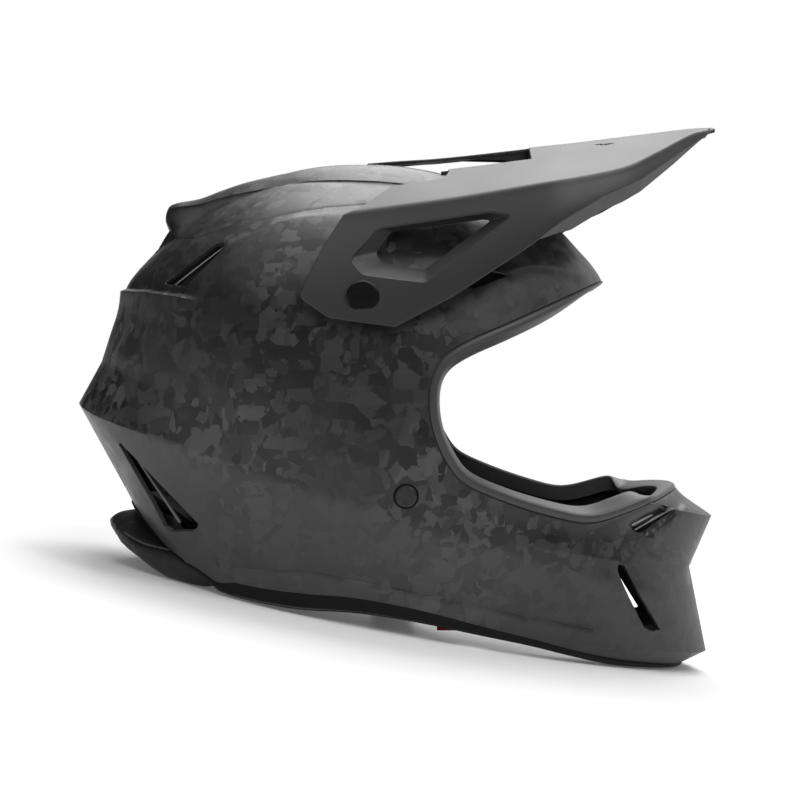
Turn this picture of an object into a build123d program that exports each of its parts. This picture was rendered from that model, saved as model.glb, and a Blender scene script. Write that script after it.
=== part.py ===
from build123d import *
import math
import os

os.makedirs("parts", exist_ok=True)

# Everything is modelled as the helmet is worn: X forward, Z up, the head's middle plane at Y = 0,
# and the rear ridge at X = 0. At the end each piece is tilted nose up and set down on its base.

# Overall sizes of the shell
shell_length = 362.0
shell_height = 289.0
shell_width = 240.0
shell_wall = 2.8
stand_tilt = 10.9
overrun = 60.0
same_body_gap = 0.2
moving_gap = 0.35
running_gap = 0.05

# Rings that the hull is lofted through, each lying in a plane that leans in side view: rear point
# x and z, front point x and z, half width and widest place, as shares of length, height and half
# width, then how square the nose of the ring is along and across
ring_shares = {
    "skirt": (0.182, 0.104, 0.890, -0.062, 0.767, 0.456, 2.0, 1.80),
    "rim": (0.149, 0.187, 0.942, 0.003, 0.825, 0.456, 2.0, 1.75),
    "lower_lip": (0.127, 0.235, 0.993, 0.034, 0.867, 0.459, 2.0, 1.80),
    "low_ridge": (0.000, 0.528, 0.977, 0.133, 0.983, 0.475, 2.05, 1.75),
    "high_ridge": (0.036, 0.609, 0.966, 0.201, 1.000, 0.475, 2.05, 1.75),
    "chin_lip": (0.044, 0.640, 1.001, 0.302, 1.000, 0.475, 2.05, 1.75),
    "chin_top": (0.050, 0.664, 0.942, 0.362, 0.996, 0.472, 2.05, 1.80),
    "cheek": (0.057, 0.689, 0.912, 0.467, 0.983, 0.464, 2.05, 1.90),
    "temple": (0.065, 0.716, 0.867, 0.623, 0.950, 0.448, 2.1, 2.00),
    "brow": (0.077, 0.758, 0.820, 0.780, 0.867, 0.431, 2.1, 2.10),
    "crown_low": (0.116, 0.817, 0.787, 0.830, 0.775, 0.428, 2.1, 2.10),
    "crown_mid": (0.166, 0.872, 0.746, 0.881, 0.654, 0.431, 2.1, 2.10),
    "crown_high": (0.227, 0.920, 0.674, 0.926, 0.492, 0.434, 2.1, 2.10),
    "crown_top": (0.298, 0.958, 0.597, 0.962, 0.317, 0.436, 2.1, 2.10),
    "crown_cap": (0.365, 0.979, 0.525, 0.982, 0.142, 0.439, 2.0, 2.00),
}
tail_squareness = 2.2
ring_points = 8
rings_between = 1
core_x_share = 0.456
core_z_share = 0.519
core_length_share = 0.415
core_height_share = 0.481

# Eyeport, base line and the cut behind the neck, in side view
eyeport_shares = (
    (0.939, 0.364), (0.890, 0.345), (0.795, 0.304), (0.744, 0.319), (0.678, 0.344), (0.609, 0.379),
    (0.586, 0.398), (0.560, 0.453), (0.547, 0.508), (0.545, 0.561), (0.553, 0.599), (0.565, 0.621),
    (0.579, 0.636), (0.616, 0.661), (0.654, 0.680), (0.716, 0.713), (0.812, 0.765), (0.900, 0.800),
    (1.150, 0.870), (1.150, 0.364),
)
base_front_share = 0.953
rim_arch = 6.5
rim_arch_shares = (
    (0.090, 0.00), (0.298, 0.00), (0.362, 0.30), (0.433, 0.85), (0.503, 1.00), (0.565, 0.95),
    (0.701, 0.60), (0.800, 0.15), (0.830, 0.00), (0.953, 0.00), (1.050, 0.00),
)
neck_cut_shares = ((-0.150, 0.341), (0.077, 0.341), (0.099, 0.317), (0.174, 0.230), (0.204, 0.214))
neck_cut_end_share = 0.232

# Trim round the eyeport and along the base
trim_wall = 1.4
trim_width = 4.6
trim_lap = 1.6
base_trim_height = 8.0
base_trim_rear_share = 0.178

# Vents, as outlines in side view
rear_top_vent_shares = ((0.141, 0.748), (0.239, 0.828), (0.214, 0.737))
rear_low_vent_shares = ((0.070, 0.478), (0.208, 0.294), (0.164, 0.295))
chin_vent_shares = ((0.833, 0.228), (0.844, 0.229), (0.909, 0.089), (0.879, 0.100), (0.833, 0.208))
lip_vent_shares = ((0.859, 0.299), (0.937, 0.332), (0.953, 0.331), (0.883, 0.276))
chin_foam_vent_shares = ((0.815, 0.236), (0.852, 0.236), (0.928, 0.085), (0.862, 0.098), (0.815, 0.205))
vent_inner_share = 0.15

# Spine rails on the crown, with the groove for the visor tongue between them
spine_half_width = 29.0
groove_half_width = 16.0
groove_rear_share = 0.325
spine_depth = 9.0
spine_shares = (
    (0.138, 0.900), (0.141, 0.909), (0.151, 0.921), (0.180, 0.925), (0.208, 0.939), (0.246, 0.955),
    (0.284, 0.969), (0.322, 0.979), (0.361, 0.989), (0.408, 0.995), (0.456, 0.997), (0.499, 0.996),
    (0.551, 0.985), (0.600, 0.968), (0.640, 0.945),
)

# Impact liners of foam, and the comfort liner on them
liner_thickness = 29.0
chin_liner_thickness = 17.0
comfort_thickness = 6.5
liner_shares = (
    (-0.100, 0.365), (0.340, 0.365), (0.340, 0.524), (0.523, 0.524), (0.526, 0.600), (0.545, 0.648),
    (0.602, 0.693), (0.704, 0.745), (0.798, 0.797), (0.900, 0.840), (0.900, 1.100), (-0.100, 1.100),
)
comfort_shares = (
    (0.100, 0.560), (0.470, 0.560), (0.490, 0.640), (0.580, 0.730), (0.670, 0.785), (0.730, 0.830),
    (0.730, 1.000), (0.100, 1.000),
)
chin_liner_shares = (
    (0.345, 0.518), (0.345, 0.000), (1.100, 0.000), (1.100, 0.325), (0.920, 0.325), (0.865, 0.300),
    (0.795, 0.277), (0.732, 0.292), (0.663, 0.319), (0.592, 0.357), (0.563, 0.383), (0.535, 0.440),
    (0.522, 0.500), (0.522, 0.518),
)
chin_liner_lift = 10.5
cheek_room = 88.0
cheek_room_front_share = 0.660

# Cheek pads and their release tabs
cheek_pad_thickness = 25.0
cheek_pad_shares = (
    (0.355, 0.512), (0.517, 0.512), (0.520, 0.420), (0.560, 0.360), (0.640, 0.310), (0.618, 0.158),
    (0.355, 0.222),
)
cheek_pad_taper = 14.0
cheek_pad_corner = 9.0
tab_width = 17.0
tab_thickness = 1.6
tab_x_share = 0.585
tab_top_share = 0.200
tab_bottom_share = 0.107
tab_inset = 6.0

# Neck roll: an oval section carried round the back of the base
neck_roll_long = 23.0
neck_roll_thick = 11.5
neck_roll_rear_share = 0.119
neck_roll_rear_z_share = 0.265
neck_roll_depth_share = 0.200
neck_roll_half_width = 74.0
neck_roll_lean = 41.0
neck_roll_sweep = 92.0
neck_roll_stations = 9

# Strap rivets in the cheeks of the shell, their caps and the anchor plates behind them
rivet_x_share = 0.515
rivet_z_share = 0.369
rivet_cap_diameter = 11.5
rivet_cap_thickness = 2.2
rivet_shank_diameter = 5.0
rivet_seat = 0.6
anchor_plate_width = 22.0
anchor_plate_height = 16.0
anchor_plate_thickness = 1.6

# Chin strap of webbing, its snap and its two D-rings
strap_width = 25.0
strap_thickness = 1.8
strap_room = 4.2
strap_side_room = 2.0
strap_bottom_share = 0.150
strap_bend = 9.0
strap_left_end = 45.0
strap_right_end = 4.0
snap_diameter = 11.0
snap_thickness = 2.4
snap_inset = 10.0
ring_wire = 3.2
ring_width = 32.0
ring_arm = 5.0
ring_room = 0.4

# Visor: sections across it, as shares of length, height and half width: place, lower edge y and z,
# crease y and z, top corner y and z
visor_wall = 2.5
visor_section_shares = (
    (0.320, 0.995, 0.680, 0.755, 0.872, 0.225, 0.986),
    (0.456, 0.998, 0.683, 0.780, 0.894, 0.220, 1.002),
    (0.580, 0.975, 0.705, 0.808, 0.915, 0.215, 1.015),
    (0.713, 0.880, 0.828, 0.808, 0.943, 0.205, 1.033),
    (0.779, 0.800, 0.880, 0.758, 0.957, 0.190, 1.041),
    (0.843, 0.690, 0.925, 0.658, 0.978, 0.170, 1.050),
    (0.898, 0.520, 0.970, 0.500, 1.012, 0.150, 1.057),
    (0.967, 0.280, 1.026, 0.265, 1.056, 0.120, 1.066),
    (1.006, 0.180, 1.050, 0.172, 1.066, 0.100, 1.069),
)
visor_skirt_share = 0.060
visor_outline_shares = (
    (0.360, 0.733), (0.390, 0.816), (0.423, 0.885), (0.452, 0.903), (0.456, 0.930), (0.456, 1.120),
    (0.985, 1.120), (1.002, 1.069), (1.002, 1.064), (0.984, 1.049), (0.870, 0.956), (0.808, 0.921),
    (0.743, 0.872), (0.698, 0.829), (0.580, 0.733), (0.499, 0.680), (0.404, 0.696),
)
visor_rear_shares = (
    (0.440, 0.895), (0.452, 0.903), (0.493, 0.949), (0.581, 0.965), (0.590, 0.985), (0.600, 1.120),
    (0.440, 1.120),
)
tongue_half_width = 13.0
slot_half_width = 48.0
slot_front_share = 0.708
slot_low_share = 0.900
window_shares = ((0.452, 0.808), (0.475, 0.860), (0.662, 0.882), (0.545, 0.775), (0.462, 0.784))
tip_slot_x_share = 0.823
tip_slot_y_share = 0.260
tip_slot_length = 13.0
tip_slot_width = 3.0

# Visor pivots: shell boss, thread insert, washer, visor boss and the disc screw
pivot_x_share = 0.452
pivot_z_share = 0.7325
pivot_boss_diameter = 18.0
pivot_seat = 110.8
pivot_boss_root = 8.0
insert_diameter = 10.0
insert_length = 10.0
screw_shank_diameter = 6.0
screw_head_diameter = 17.5
screw_head_thickness = 3.4
screw_slot_width = 2.0
screw_slot_depth = 1.0
screw_slot_length = 11.0
washer_thickness = 1.0
washer_diameter = 14.0
visor_boss_diameter = 22.0
visor_boss_thickness = 3.6


def side_points(shares):
    """Turn shares of length and height into points of the side view."""
    return [(x * shell_length, z * shell_height) for x, z in shares]


def side_prism(points, near=0.0, far=shell_width):
    """Extrude an outline of the side view to both sides, leaving out the strip nearer than near."""
    with BuildPart() as prism:
        with BuildSketch(Plane.XZ):
            with BuildLine():
                Polyline(*points, close=True)
            make_face()
        extrude(amount=far, both=True)
        if near > 0:
            with BuildSketch(Plane.XZ):
                with BuildLine():
                    Polyline(*points, close=True)
                make_face()
            extrude(amount=near, both=True, mode=Mode.SUBTRACT)
    return prism.part


def rings():
    """List the named rings with further ones drawn in between the rings above the chin."""
    names = list(ring_shares)
    first = names.index("chin_top")
    listed = [ring_shares[name] for name in names[:first]]
    upper = [ring_shares[name] for name in names[first:]]
    for i in range(len(upper) - 1):
        before, start = upper[max(i - 1, 0)], upper[i]
        end, after = upper[i + 1], upper[min(i + 2, len(upper) - 1)]
        for j in range(rings_between + 1):
            t = j / (rings_between + 1)
            listed.append(tuple(
                (2 * b + (c - a) * t + (2 * a - 5 * b + 4 * c - d) * t**2 + (3 * b - 3 * c + d - a) * t**3) / 2
                for a, b, c, d in zip(before, start, end, after)
            ))
    return listed + [upper[-1]]


def ring_face(ring, inset):
    """Draw the right half of one ring of the hull, drawn in towards the core by about the inset."""
    rear_x, rear_z, front_x, front_z, half_width, widest, along, across = ring
    grow_x = 1 - inset / (core_length_share * shell_length)
    grow_z = 1 - inset / (core_height_share * shell_height)
    grow_y = 1 - inset / (shell_width / 2)
    rear_x, front_x, widest = (
        (core_x_share + (share - core_x_share) * grow_x) * shell_length for share in (rear_x, front_x, widest)
    )
    rear_z, front_z = (
        (core_z_share + (share - core_z_share) * grow_z) * shell_height for share in (rear_z, front_z)
    )
    half = half_width * shell_width / 2 * grow_y
    chord = math.hypot(front_x - rear_x, front_z - rear_z)
    widest_at = (widest - rear_x) / (front_x - rear_x) * chord
    points = [(0, 0)]
    for i in range(1, 2 * ring_points):
        angle = math.pi * i / (2 * ring_points)
        c, s = abs(math.cos(angle)), math.sin(angle)
        if i < ring_points:
            points.append((widest_at * (1 - c ** (2 / tail_squareness)), -half * s ** (2 / tail_squareness)))
        else:
            points.append((widest_at + (chord - widest_at) * c ** (2 / along), -half * s ** (2 / across)))
    points.append((chord, 0))
    lie = Plane(
        origin=(rear_x, 0, rear_z),
        x_dir=(front_x - rear_x, 0, front_z - rear_z),
        z_dir=(rear_z - front_z, 0, front_x - rear_x),
    )
    with BuildSketch(lie) as face:
        with BuildLine():
            Polyline(*points, close=True)
        make_face()
    return face.sketch


def hull(inset=0.0):
    """Loft the right half of the closed hull of the helmet, drawn in by the inset."""
    with BuildPart() as solid:
        loft([ring_face(ring, inset) for ring in rings()], ruled=True)
    return solid.part


def stand_z(x):
    """Height, as worn, of the table line under the helmet at x."""
    return (base_front_share * shell_length - x) * math.tan(math.radians(stand_tilt))


def base_line(lift):
    """Points of the base line from rear to front, lifted by lift."""
    return [
        (x * shell_length, stand_z(x * shell_length) + arch * rim_arch + lift) for x, arch in rim_arch_shares
    ]


def below_base(lift):
    """Outline of all that lies under the base line lifted by lift."""
    line = base_line(lift)
    return line + [(line[-1][0] + overrun, -overrun), (-overrun, -overrun), (-overrun, line[0][1])]


def pins(x, z, radius, near, far, sides=(1, -1)):
    """Cylinders along Y from near to far, on both sides or on one."""
    with BuildPart() as pair:
        for side in sides:
            with BuildSketch(Plane(origin=(x, side * near, z), x_dir=(1, 0, 0), z_dir=(0, side, 0))):
                Circle(radius)
            extrude(amount=far - near)
    return pair.part


pivot_x, pivot_z = pivot_x_share * shell_length, pivot_z_share * shell_height
rivet_x, rivet_z = rivet_x_share * shell_length, rivet_z_share * shell_height
shell_half = shell_width / 2
bore_radius = screw_shank_diameter / 2 + running_gap
core_outside = hull()
core_inside = hull(shell_wall)
trim_outside = hull(-trim_wall)
trim_inside = hull(shell_wall + trim_lap)
liner_face = hull(shell_wall + same_body_gap)
washer_seat = pivot_seat + moving_gap
visor_seat = washer_seat + washer_thickness
screw_seat = visor_seat + visor_boss_thickness + moving_gap
rivet_face = shell_half - rivet_seat
plate_face = cheek_room + strap_room
eyeport = side_points(eyeport_shares)
spine_line = side_points(spine_shares)


# Outer shell: the hull's wall with its rails, less the eyeport, the base, the neck and the vents. As
# with every piece that follows the hull, its right half is built and then mirrored.
with BuildPart() as outer_shell:
    add(core_outside)
    with BuildSketch(Plane.XZ):
        with BuildLine():
            Polyline(*spine_line, *[(x, z - spine_depth) for x, z in reversed(spine_line)], close=True)
        make_face()
    extrude(amount=spine_half_width)
    add(pins(pivot_x, pivot_z, pivot_boss_diameter / 2, pivot_seat - pivot_boss_root, pivot_seat, (-1,)))
    add(core_inside, mode=Mode.SUBTRACT)
    groove_top = [(x, z) for x, z in spine_line if x > groove_rear_share * shell_length]
    groove = groove_top + [(x, z - spine_depth) for x, z in reversed(groove_top)]
    groove = [(x, z + spine_depth / 2 if i < len(groove_top) else z) for i, (x, z) in enumerate(groove)]
    add(side_prism(groove, far=groove_half_width) - core_outside, mode=Mode.SUBTRACT)
    add(side_prism(eyeport), mode=Mode.SUBTRACT)
    add(side_prism(below_base(trim_wall)), mode=Mode.SUBTRACT)
    neck = side_points(neck_cut_shares)
    neck_end = neck_cut_end_share * shell_length
    neck += [(neck_end, stand_z(neck_end)), (neck_end, -overrun), (neck[0][0], -overrun)]
    add(side_prism(neck), mode=Mode.SUBTRACT)
    for outline in (rear_top_vent_shares, rear_low_vent_shares, chin_vent_shares, lip_vent_shares):
        add(side_prism(side_points(outline), near=vent_inner_share * shell_half), mode=Mode.SUBTRACT)
    add(pins(pivot_x, pivot_z, insert_diameter / 2, pivot_seat - overrun, pivot_seat + overrun),
        mode=Mode.SUBTRACT)
    add(pins(rivet_x, rivet_z, rivet_shank_diameter / 2, shell_half - overrun, shell_half + overrun),
        mode=Mode.SUBTRACT)
    mirror(about=Plane.XZ)

# Trims: channels that grip the edge of the shell round the eyeport and along the base
with BuildPart() as eyeport_trim:
    add(trim_outside)
    add(trim_inside, mode=Mode.SUBTRACT)
    with BuildSketch(Plane.XZ) as eyeport_face:
        with BuildLine():
            Polyline(*eyeport, close=True)
        make_face()
    with BuildSketch(Plane.XZ) as trim_face:
        add(offset(eyeport_face.sketch, amount=trim_width, kind=Kind.INTERSECTION, mode=Mode.PRIVATE))
        add(offset(eyeport_face.sketch, amount=-trim_wall, kind=Kind.INTERSECTION, mode=Mode.PRIVATE),
            mode=Mode.SUBTRACT)
    extrude(trim_face.sketch, amount=shell_width, both=True, mode=Mode.INTERSECT)
    add(outer_shell.part, mode=Mode.SUBTRACT)
    mirror(about=Plane.XZ)

trim_rear = base_trim_rear_share * shell_length
with BuildPart() as base_trim:
    add(trim_outside)
    add(trim_inside, mode=Mode.SUBTRACT)
    lower, upper = base_line(0), base_line(base_trim_height)
    strip = [point for point in lower if point[0] > trim_rear]
    strip = [(trim_rear, stand_z(trim_rear))] + strip
    cover = [point for point in upper if point[0] > trim_rear]
    cover = cover[::-1] + [(trim_rear, stand_z(trim_rear) + base_trim_height)]
    add(side_prism(strip + cover), mode=Mode.INTERSECT)
    add(outer_shell.part, mode=Mode.SUBTRACT)
    mirror(about=Plane.XZ)

# Liners: foam under the crown and in the chin bar, then the soft liner the head rests in
with BuildPart() as impact_liner:
    add(liner_face)
    add(hull(liner_thickness), mode=Mode.SUBTRACT)
    add(side_prism(side_points(liner_shares)), mode=Mode.INTERSECT)
    add(pins(pivot_x, pivot_z, insert_diameter / 2 + moving_gap, pivot_seat - overrun, pivot_seat),
        mode=Mode.SUBTRACT)
    mirror(about=Plane.XZ)

with BuildPart() as comfort_liner:
    add(hull(liner_thickness + same_body_gap))
    add(hull(liner_thickness + comfort_thickness), mode=Mode.SUBTRACT)
    add(side_prism(side_points(comfort_shares)), mode=Mode.INTERSECT)
    mirror(about=Plane.XZ)

cheek_front = cheek_room_front_share * shell_length
with BuildPart() as lower_foam:
    add(liner_face)
    add(hull(chin_liner_thickness), mode=Mode.SUBTRACT)
    with BuildSketch(Plane.XZ) as cheek_block:
        with BuildLine():
            Polyline((0, 0), (0, shell_height), (cheek_front, shell_height), (cheek_front, 0), close=True)
        make_face()
    extrude(amount=cheek_room, both=True, mode=Mode.SUBTRACT)
    add(side_prism(side_points(chin_liner_shares)), mode=Mode.INTERSECT)
    add(side_prism(below_base(chin_liner_lift)), mode=Mode.SUBTRACT)
    add(side_prism(side_points(chin_foam_vent_shares), near=vent_inner_share * shell_half), mode=Mode.SUBTRACT)
    channel_half = strap_width / 2 + strap_side_room
    channel_top = rivet_z + anchor_plate_height / 2 + strap_side_room
    channel = [(rivet_x - channel_half, -overrun), (rivet_x + channel_half, -overrun),
               (rivet_x + channel_half, channel_top), (rivet_x - channel_half, channel_top)]
    add(side_prism(channel, far=plate_face), mode=Mode.SUBTRACT)
    add(pins(rivet_x, rivet_z, rivet_shank_diameter / 2 + same_body_gap, cheek_room, shell_half),
        mode=Mode.SUBTRACT)


def behind(front):
    """Draw everything behind a place along the helmet, in side view."""
    return [(0, -overrun), (front, -overrun), (front, shell_height), (0, shell_height)]


with BuildPart() as cheek_liners:
    add(lower_foam.part)
    add(side_prism(behind(cheek_front)), mode=Mode.INTERSECT)
    mirror(about=Plane.XZ)
with BuildPart() as chin_bar_liner:
    add(lower_foam.part)
    add(side_prism(behind(cheek_front + same_body_gap)), mode=Mode.SUBTRACT)
    mirror(about=Plane.XZ)

# Cheek pads: crowned cushions on the foam, the head side smaller than the back
pad_back = cheek_room - same_body_gap


def cheek_pad(side):
    """One cheek pad, its outline drawn in towards the head."""
    with BuildPart() as pad:
        with BuildSketch(Plane(origin=(0, side * pad_back, 0), x_dir=(side, 0, 0), z_dir=(0, -side, 0))):
            with BuildLine():
                Polyline(*[(side * x, z) for x, z in side_points(cheek_pad_shares)], close=True)
            make_face()
        extrude(amount=cheek_pad_thickness, taper=cheek_pad_taper)
        fillet(pad.faces().sort_by(Axis.Y)[0 if side > 0 else -1].edges(), cheek_pad_corner)
    return pad.part


with BuildPart() as cheek_pad_left:
    add(cheek_pad(1))
with BuildPart() as cheek_pad_right:
    add(cheek_pad(-1))

# Release tabs: a flat loop of tape at the lower edge of each cheek pad
tab_x = tab_x_share * shell_length
with BuildPart() as cheek_release_tabs:
    for side in (1, -1):
        tab_outer = side * (pad_back - tab_inset)
        with BuildSketch(Plane(origin=(0, tab_outer, 0), x_dir=(1, 0, 0), z_dir=(0, -1, 0))):
            with BuildLine():
                Polyline(
                    (tab_x - tab_width / 2, tab_bottom_share * shell_height),
                    (tab_x + tab_width / 2, tab_bottom_share * shell_height),
                    (tab_x + tab_width / 2, tab_top_share * shell_height),
                    (tab_x - tab_width / 2, tab_top_share * shell_height),
                    close=True,
                )
            make_face()
        extrude(amount=side * tab_thickness)
    add(cheek_pad_left.part, mode=Mode.SUBTRACT)
    add(cheek_pad_right.part, mode=Mode.SUBTRACT)

# Neck roll: an oval carried round the back, leaning with the lower edge of the shell
with BuildPart() as neck_roll:
    lean = math.radians(neck_roll_lean)
    slope = math.tan(math.radians(stand_tilt))
    ovals = []
    for i in range(neck_roll_stations):
        turn = math.radians(neck_roll_sweep) * (2 * i / (neck_roll_stations - 1) - 1)
        depth = neck_roll_depth_share * shell_length
        out = Vector(-math.cos(turn) * neck_roll_half_width, math.sin(turn) * depth, 0).normalized()
        x = neck_roll_rear_share * shell_length + depth * (1 - math.cos(turn))
        place = Vector(x, neck_roll_half_width * math.sin(turn),
                       neck_roll_rear_z_share * shell_height - (x - neck_roll_rear_share * shell_length) * slope)
        along = Vector(out.X * math.cos(lean), out.Y * math.cos(lean), math.sin(lean))
        path = Vector(-out.Y, out.X, 0)
        with BuildSketch(Plane(origin=place, x_dir=along, z_dir=path)) as oval:
            Ellipse(neck_roll_long, neck_roll_thick)
        ovals.append(oval.sketch)
    loft(ovals)
    add(outer_shell.part, mode=Mode.SUBTRACT)
    add(base_trim.part, mode=Mode.SUBTRACT)

# Strap hardware: caps outside, shanks through the shell, plates on the foam's inner face
cap_radius = rivet_cap_diameter / 2
with BuildPart() as rivet_caps:
    add(pins(rivet_x, rivet_z, cap_radius, rivet_face, rivet_face + rivet_cap_thickness))
    fillet(rivet_caps.faces().filter_by(Axis.Y).sort_by(Axis.Y)[-1].edges(), rivet_cap_thickness / 2)
    fillet(rivet_caps.faces().filter_by(Axis.Y).sort_by(Axis.Y)[0].edges(), rivet_cap_thickness / 2)
    add(outer_shell.part, mode=Mode.SUBTRACT)
with BuildPart() as strap_rivets:
    add(pins(rivet_x, rivet_z, rivet_shank_diameter / 2, plate_face - anchor_plate_thickness, rivet_face))
with BuildPart() as strap_anchor_plates:
    for side in (1, -1):
        with BuildSketch(Plane(origin=(rivet_x, side * plate_face, rivet_z), x_dir=(1, 0, 0), z_dir=(0, -side, 0))):
            RectangleRounded(anchor_plate_width, anchor_plate_height, anchor_plate_height / 4)
            Circle(rivet_shank_diameter / 2, mode=Mode.SUBTRACT)
        extrude(amount=anchor_plate_thickness)


# Chin strap: webbing down the channel in the foam, then in under the chin
strap_outer = plate_face - anchor_plate_thickness - same_body_gap
strap_low = strap_bottom_share * shell_height
strap_high = rivet_z + anchor_plate_height / 2


def strap_band(end):
    """Webbing on the left side, from the anchor plate down and in to the given end."""
    with BuildPart() as band:
        with BuildSketch(Plane(origin=(rivet_x - strap_width / 2, 0, 0), x_dir=(0, 1, 0), z_dir=(1, 0, 0))):
            with BuildLine():
                Line((strap_outer, strap_high), (strap_outer, strap_low + strap_bend))
                CenterArc((strap_outer - strap_bend, strap_low + strap_bend), strap_bend, 0, -90)
                Line((strap_outer - strap_bend, strap_low), (end, strap_low))
                Line((end, strap_low), (end, strap_low + strap_thickness))
                Line((end, strap_low + strap_thickness),
                     (strap_outer - strap_bend, strap_low + strap_thickness))
                CenterArc((strap_outer - strap_bend, strap_low + strap_bend),
                          strap_bend - strap_thickness, 270, 90)
                Line((strap_outer - strap_thickness, strap_low + strap_bend),
                     (strap_outer - strap_thickness, strap_high))
                Line((strap_outer - strap_thickness, strap_high), (strap_outer, strap_high))
            make_face()
        extrude(amount=strap_width)
    return band.part


wire_radius = ring_wire / 2
loop_height = 2 * ring_wire + 3 * ring_room
loop_depth = ring_wire + 2 * ring_room
loop_low = strap_low - loop_height / 2
upper_ring_z = loop_low + loop_height - ring_room - wire_radius
lower_ring_z = loop_low + ring_room + wire_radius
ring_y = strap_left_end - ring_room - wire_radius
with BuildPart() as chin_strap_left:
    add(strap_band(strap_left_end))
    with BuildSketch(Plane(origin=(rivet_x - strap_width / 2, 0, 0), x_dir=(0, 1, 0), z_dir=(1, 0, 0))):
        with Locations((strap_left_end - loop_depth / 2, loop_low + loop_height / 2)):
            Rectangle(loop_depth + 2 * strap_thickness, loop_height + 2 * strap_thickness)
            Rectangle(loop_depth, loop_height, mode=Mode.SUBTRACT)
    extrude(amount=strap_width)
with BuildPart() as chin_strap_right:
    add(mirror(strap_band(strap_right_end), about=Plane.XZ))
with BuildPart() as strap_snap:
    for z, up in ((strap_low + strap_thickness, 1), (strap_low, -1)):
        with BuildSketch(Plane(origin=(rivet_x, -strap_right_end - snap_inset, z), z_dir=(0, 0, up))):
            Circle(snap_diameter / 2)
        extrude(amount=snap_thickness)


def d_ring(z):
    """A D-shaped ring of flat wire with a round bar, which turns in the strap's loop at height z."""
    half = ring_width / 2 - wire_radius
    with BuildSketch(Plane.XY.offset(z - wire_radius)) as middle:
        with BuildLine():
            Line((rivet_x + half, ring_y), (rivet_x - half, ring_y))
            Line((rivet_x - half, ring_y), (rivet_x - half, ring_y - ring_arm))
            ThreePointArc(
                (rivet_x - half, ring_y - ring_arm),
                (rivet_x, ring_y - ring_arm - half),
                (rivet_x + half, ring_y - ring_arm),
            )
            Line((rivet_x + half, ring_y - ring_arm), (rivet_x + half, ring_y))
        make_face()
    with BuildPart() as ring:
        with BuildSketch(Plane.XY.offset(z - wire_radius)) as wire:
            add(offset(middle.sketch, amount=wire_radius, mode=Mode.PRIVATE))
            add(offset(middle.sketch, amount=-wire_radius, mode=Mode.PRIVATE), mode=Mode.SUBTRACT)
        extrude(wire.sketch, amount=ring_wire)
        chamfer(ring.faces().filter_by(Axis.Z).edges(), wire_radius / 2)
        with Locations((rivet_x, ring_y + ring_wire / 2, z)):
            Box(ring_width + overrun, ring_wire, ring_wire + overrun, mode=Mode.SUBTRACT)
        with BuildSketch(Plane(origin=(rivet_x - ring_width / 2, ring_y, z), z_dir=(1, 0, 0))) as bar:
            Circle(wire_radius)
        extrude(bar.sketch, amount=ring_width)
    return ring.part


with BuildPart() as d_ring_upper:
    add(d_ring(upper_ring_z))
with BuildPart() as d_ring_lower:
    add(d_ring(lower_ring_z))

# Visor: a folded shade lofted through sections across it, then trimmed in side view


def visor_face(shares, inset):
    """Draw one section across the visor, its skirt drawn on below the lower edge."""
    place, edge_y, edge_z, crease_y, crease_z, top_y, top_z = shares
    edge_y, crease_y, top_y = (share * shell_half for share in (edge_y, crease_y, top_y))
    edge_z, crease_z, top_z = (share * shell_height for share in (edge_z, crease_z, top_z))
    drop = visor_skirt_share * shell_height
    low_y = edge_y + (edge_y - crease_y) / (crease_z - edge_z) * drop
    right = [(low_y - inset, edge_z - drop), (crease_y - inset, crease_z - inset / 2), (top_y, top_z - inset)]
    left = [(-y, z) for y, z in reversed(right)]
    with BuildSketch(Plane(origin=(place * shell_length, 0, 0), x_dir=(0, 1, 0), z_dir=(1, 0, 0))) as face:
        with BuildLine():
            Polyline(*right, *left, close=True)
        make_face()
    return face.sketch


visor_boss_radius = visor_boss_diameter / 2
with BuildPart() as visor:
    loft([visor_face(shares, 0) for shares in visor_section_shares], ruled=True)
    loft([visor_face(shares, visor_wall) for shares in visor_section_shares], ruled=True, mode=Mode.SUBTRACT)
    add(side_prism(side_points(visor_outline_shares)), mode=Mode.INTERSECT)
    add(side_prism(side_points(visor_rear_shares), near=tongue_half_width), mode=Mode.SUBTRACT)
    slot_low, slot_front = slot_low_share * shell_height, slot_front_share * shell_length
    slot = [(0, slot_low), (slot_front, slot_low), (slot_front, shell_height + overrun),
            (0, shell_height + overrun)]
    add(side_prism(slot, near=tongue_half_width, far=slot_half_width), mode=Mode.SUBTRACT)
    add(side_prism(side_points(window_shares)), mode=Mode.SUBTRACT)
    for side in (1, -1):
        with BuildSketch(Plane.XY.offset(shell_height)):
            with Locations((tip_slot_x_share * shell_length, side * tip_slot_y_share * shell_half)):
                RectangleRounded(tip_slot_length, tip_slot_width, tip_slot_width / 3)
        extrude(amount=overrun, mode=Mode.SUBTRACT)
    add(pins(pivot_x, pivot_z, visor_boss_radius, pivot_seat - overrun, visor_seat), mode=Mode.SUBTRACT)
    add(pins(pivot_x, pivot_z, visor_boss_radius, visor_seat, visor_seat + visor_boss_thickness))
    add(pins(pivot_x, pivot_z, bore_radius, visor_seat, shell_half + overrun), mode=Mode.SUBTRACT)
    add(pins(pivot_x, pivot_z, visor_boss_radius, visor_seat + visor_boss_thickness,
                   shell_half + overrun), mode=Mode.SUBTRACT)

with BuildPart() as visor_washers:
    add(pins(pivot_x, pivot_z, washer_diameter / 2, washer_seat, visor_seat))
    add(pins(pivot_x, pivot_z, bore_radius, washer_seat, visor_seat), mode=Mode.SUBTRACT)

with BuildPart() as visor_thread_inserts:
    add(pins(pivot_x, pivot_z, insert_diameter / 2, pivot_seat - insert_length, pivot_seat))
    add(pins(pivot_x, pivot_z, bore_radius, pivot_seat - insert_length, pivot_seat), mode=Mode.SUBTRACT)


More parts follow.
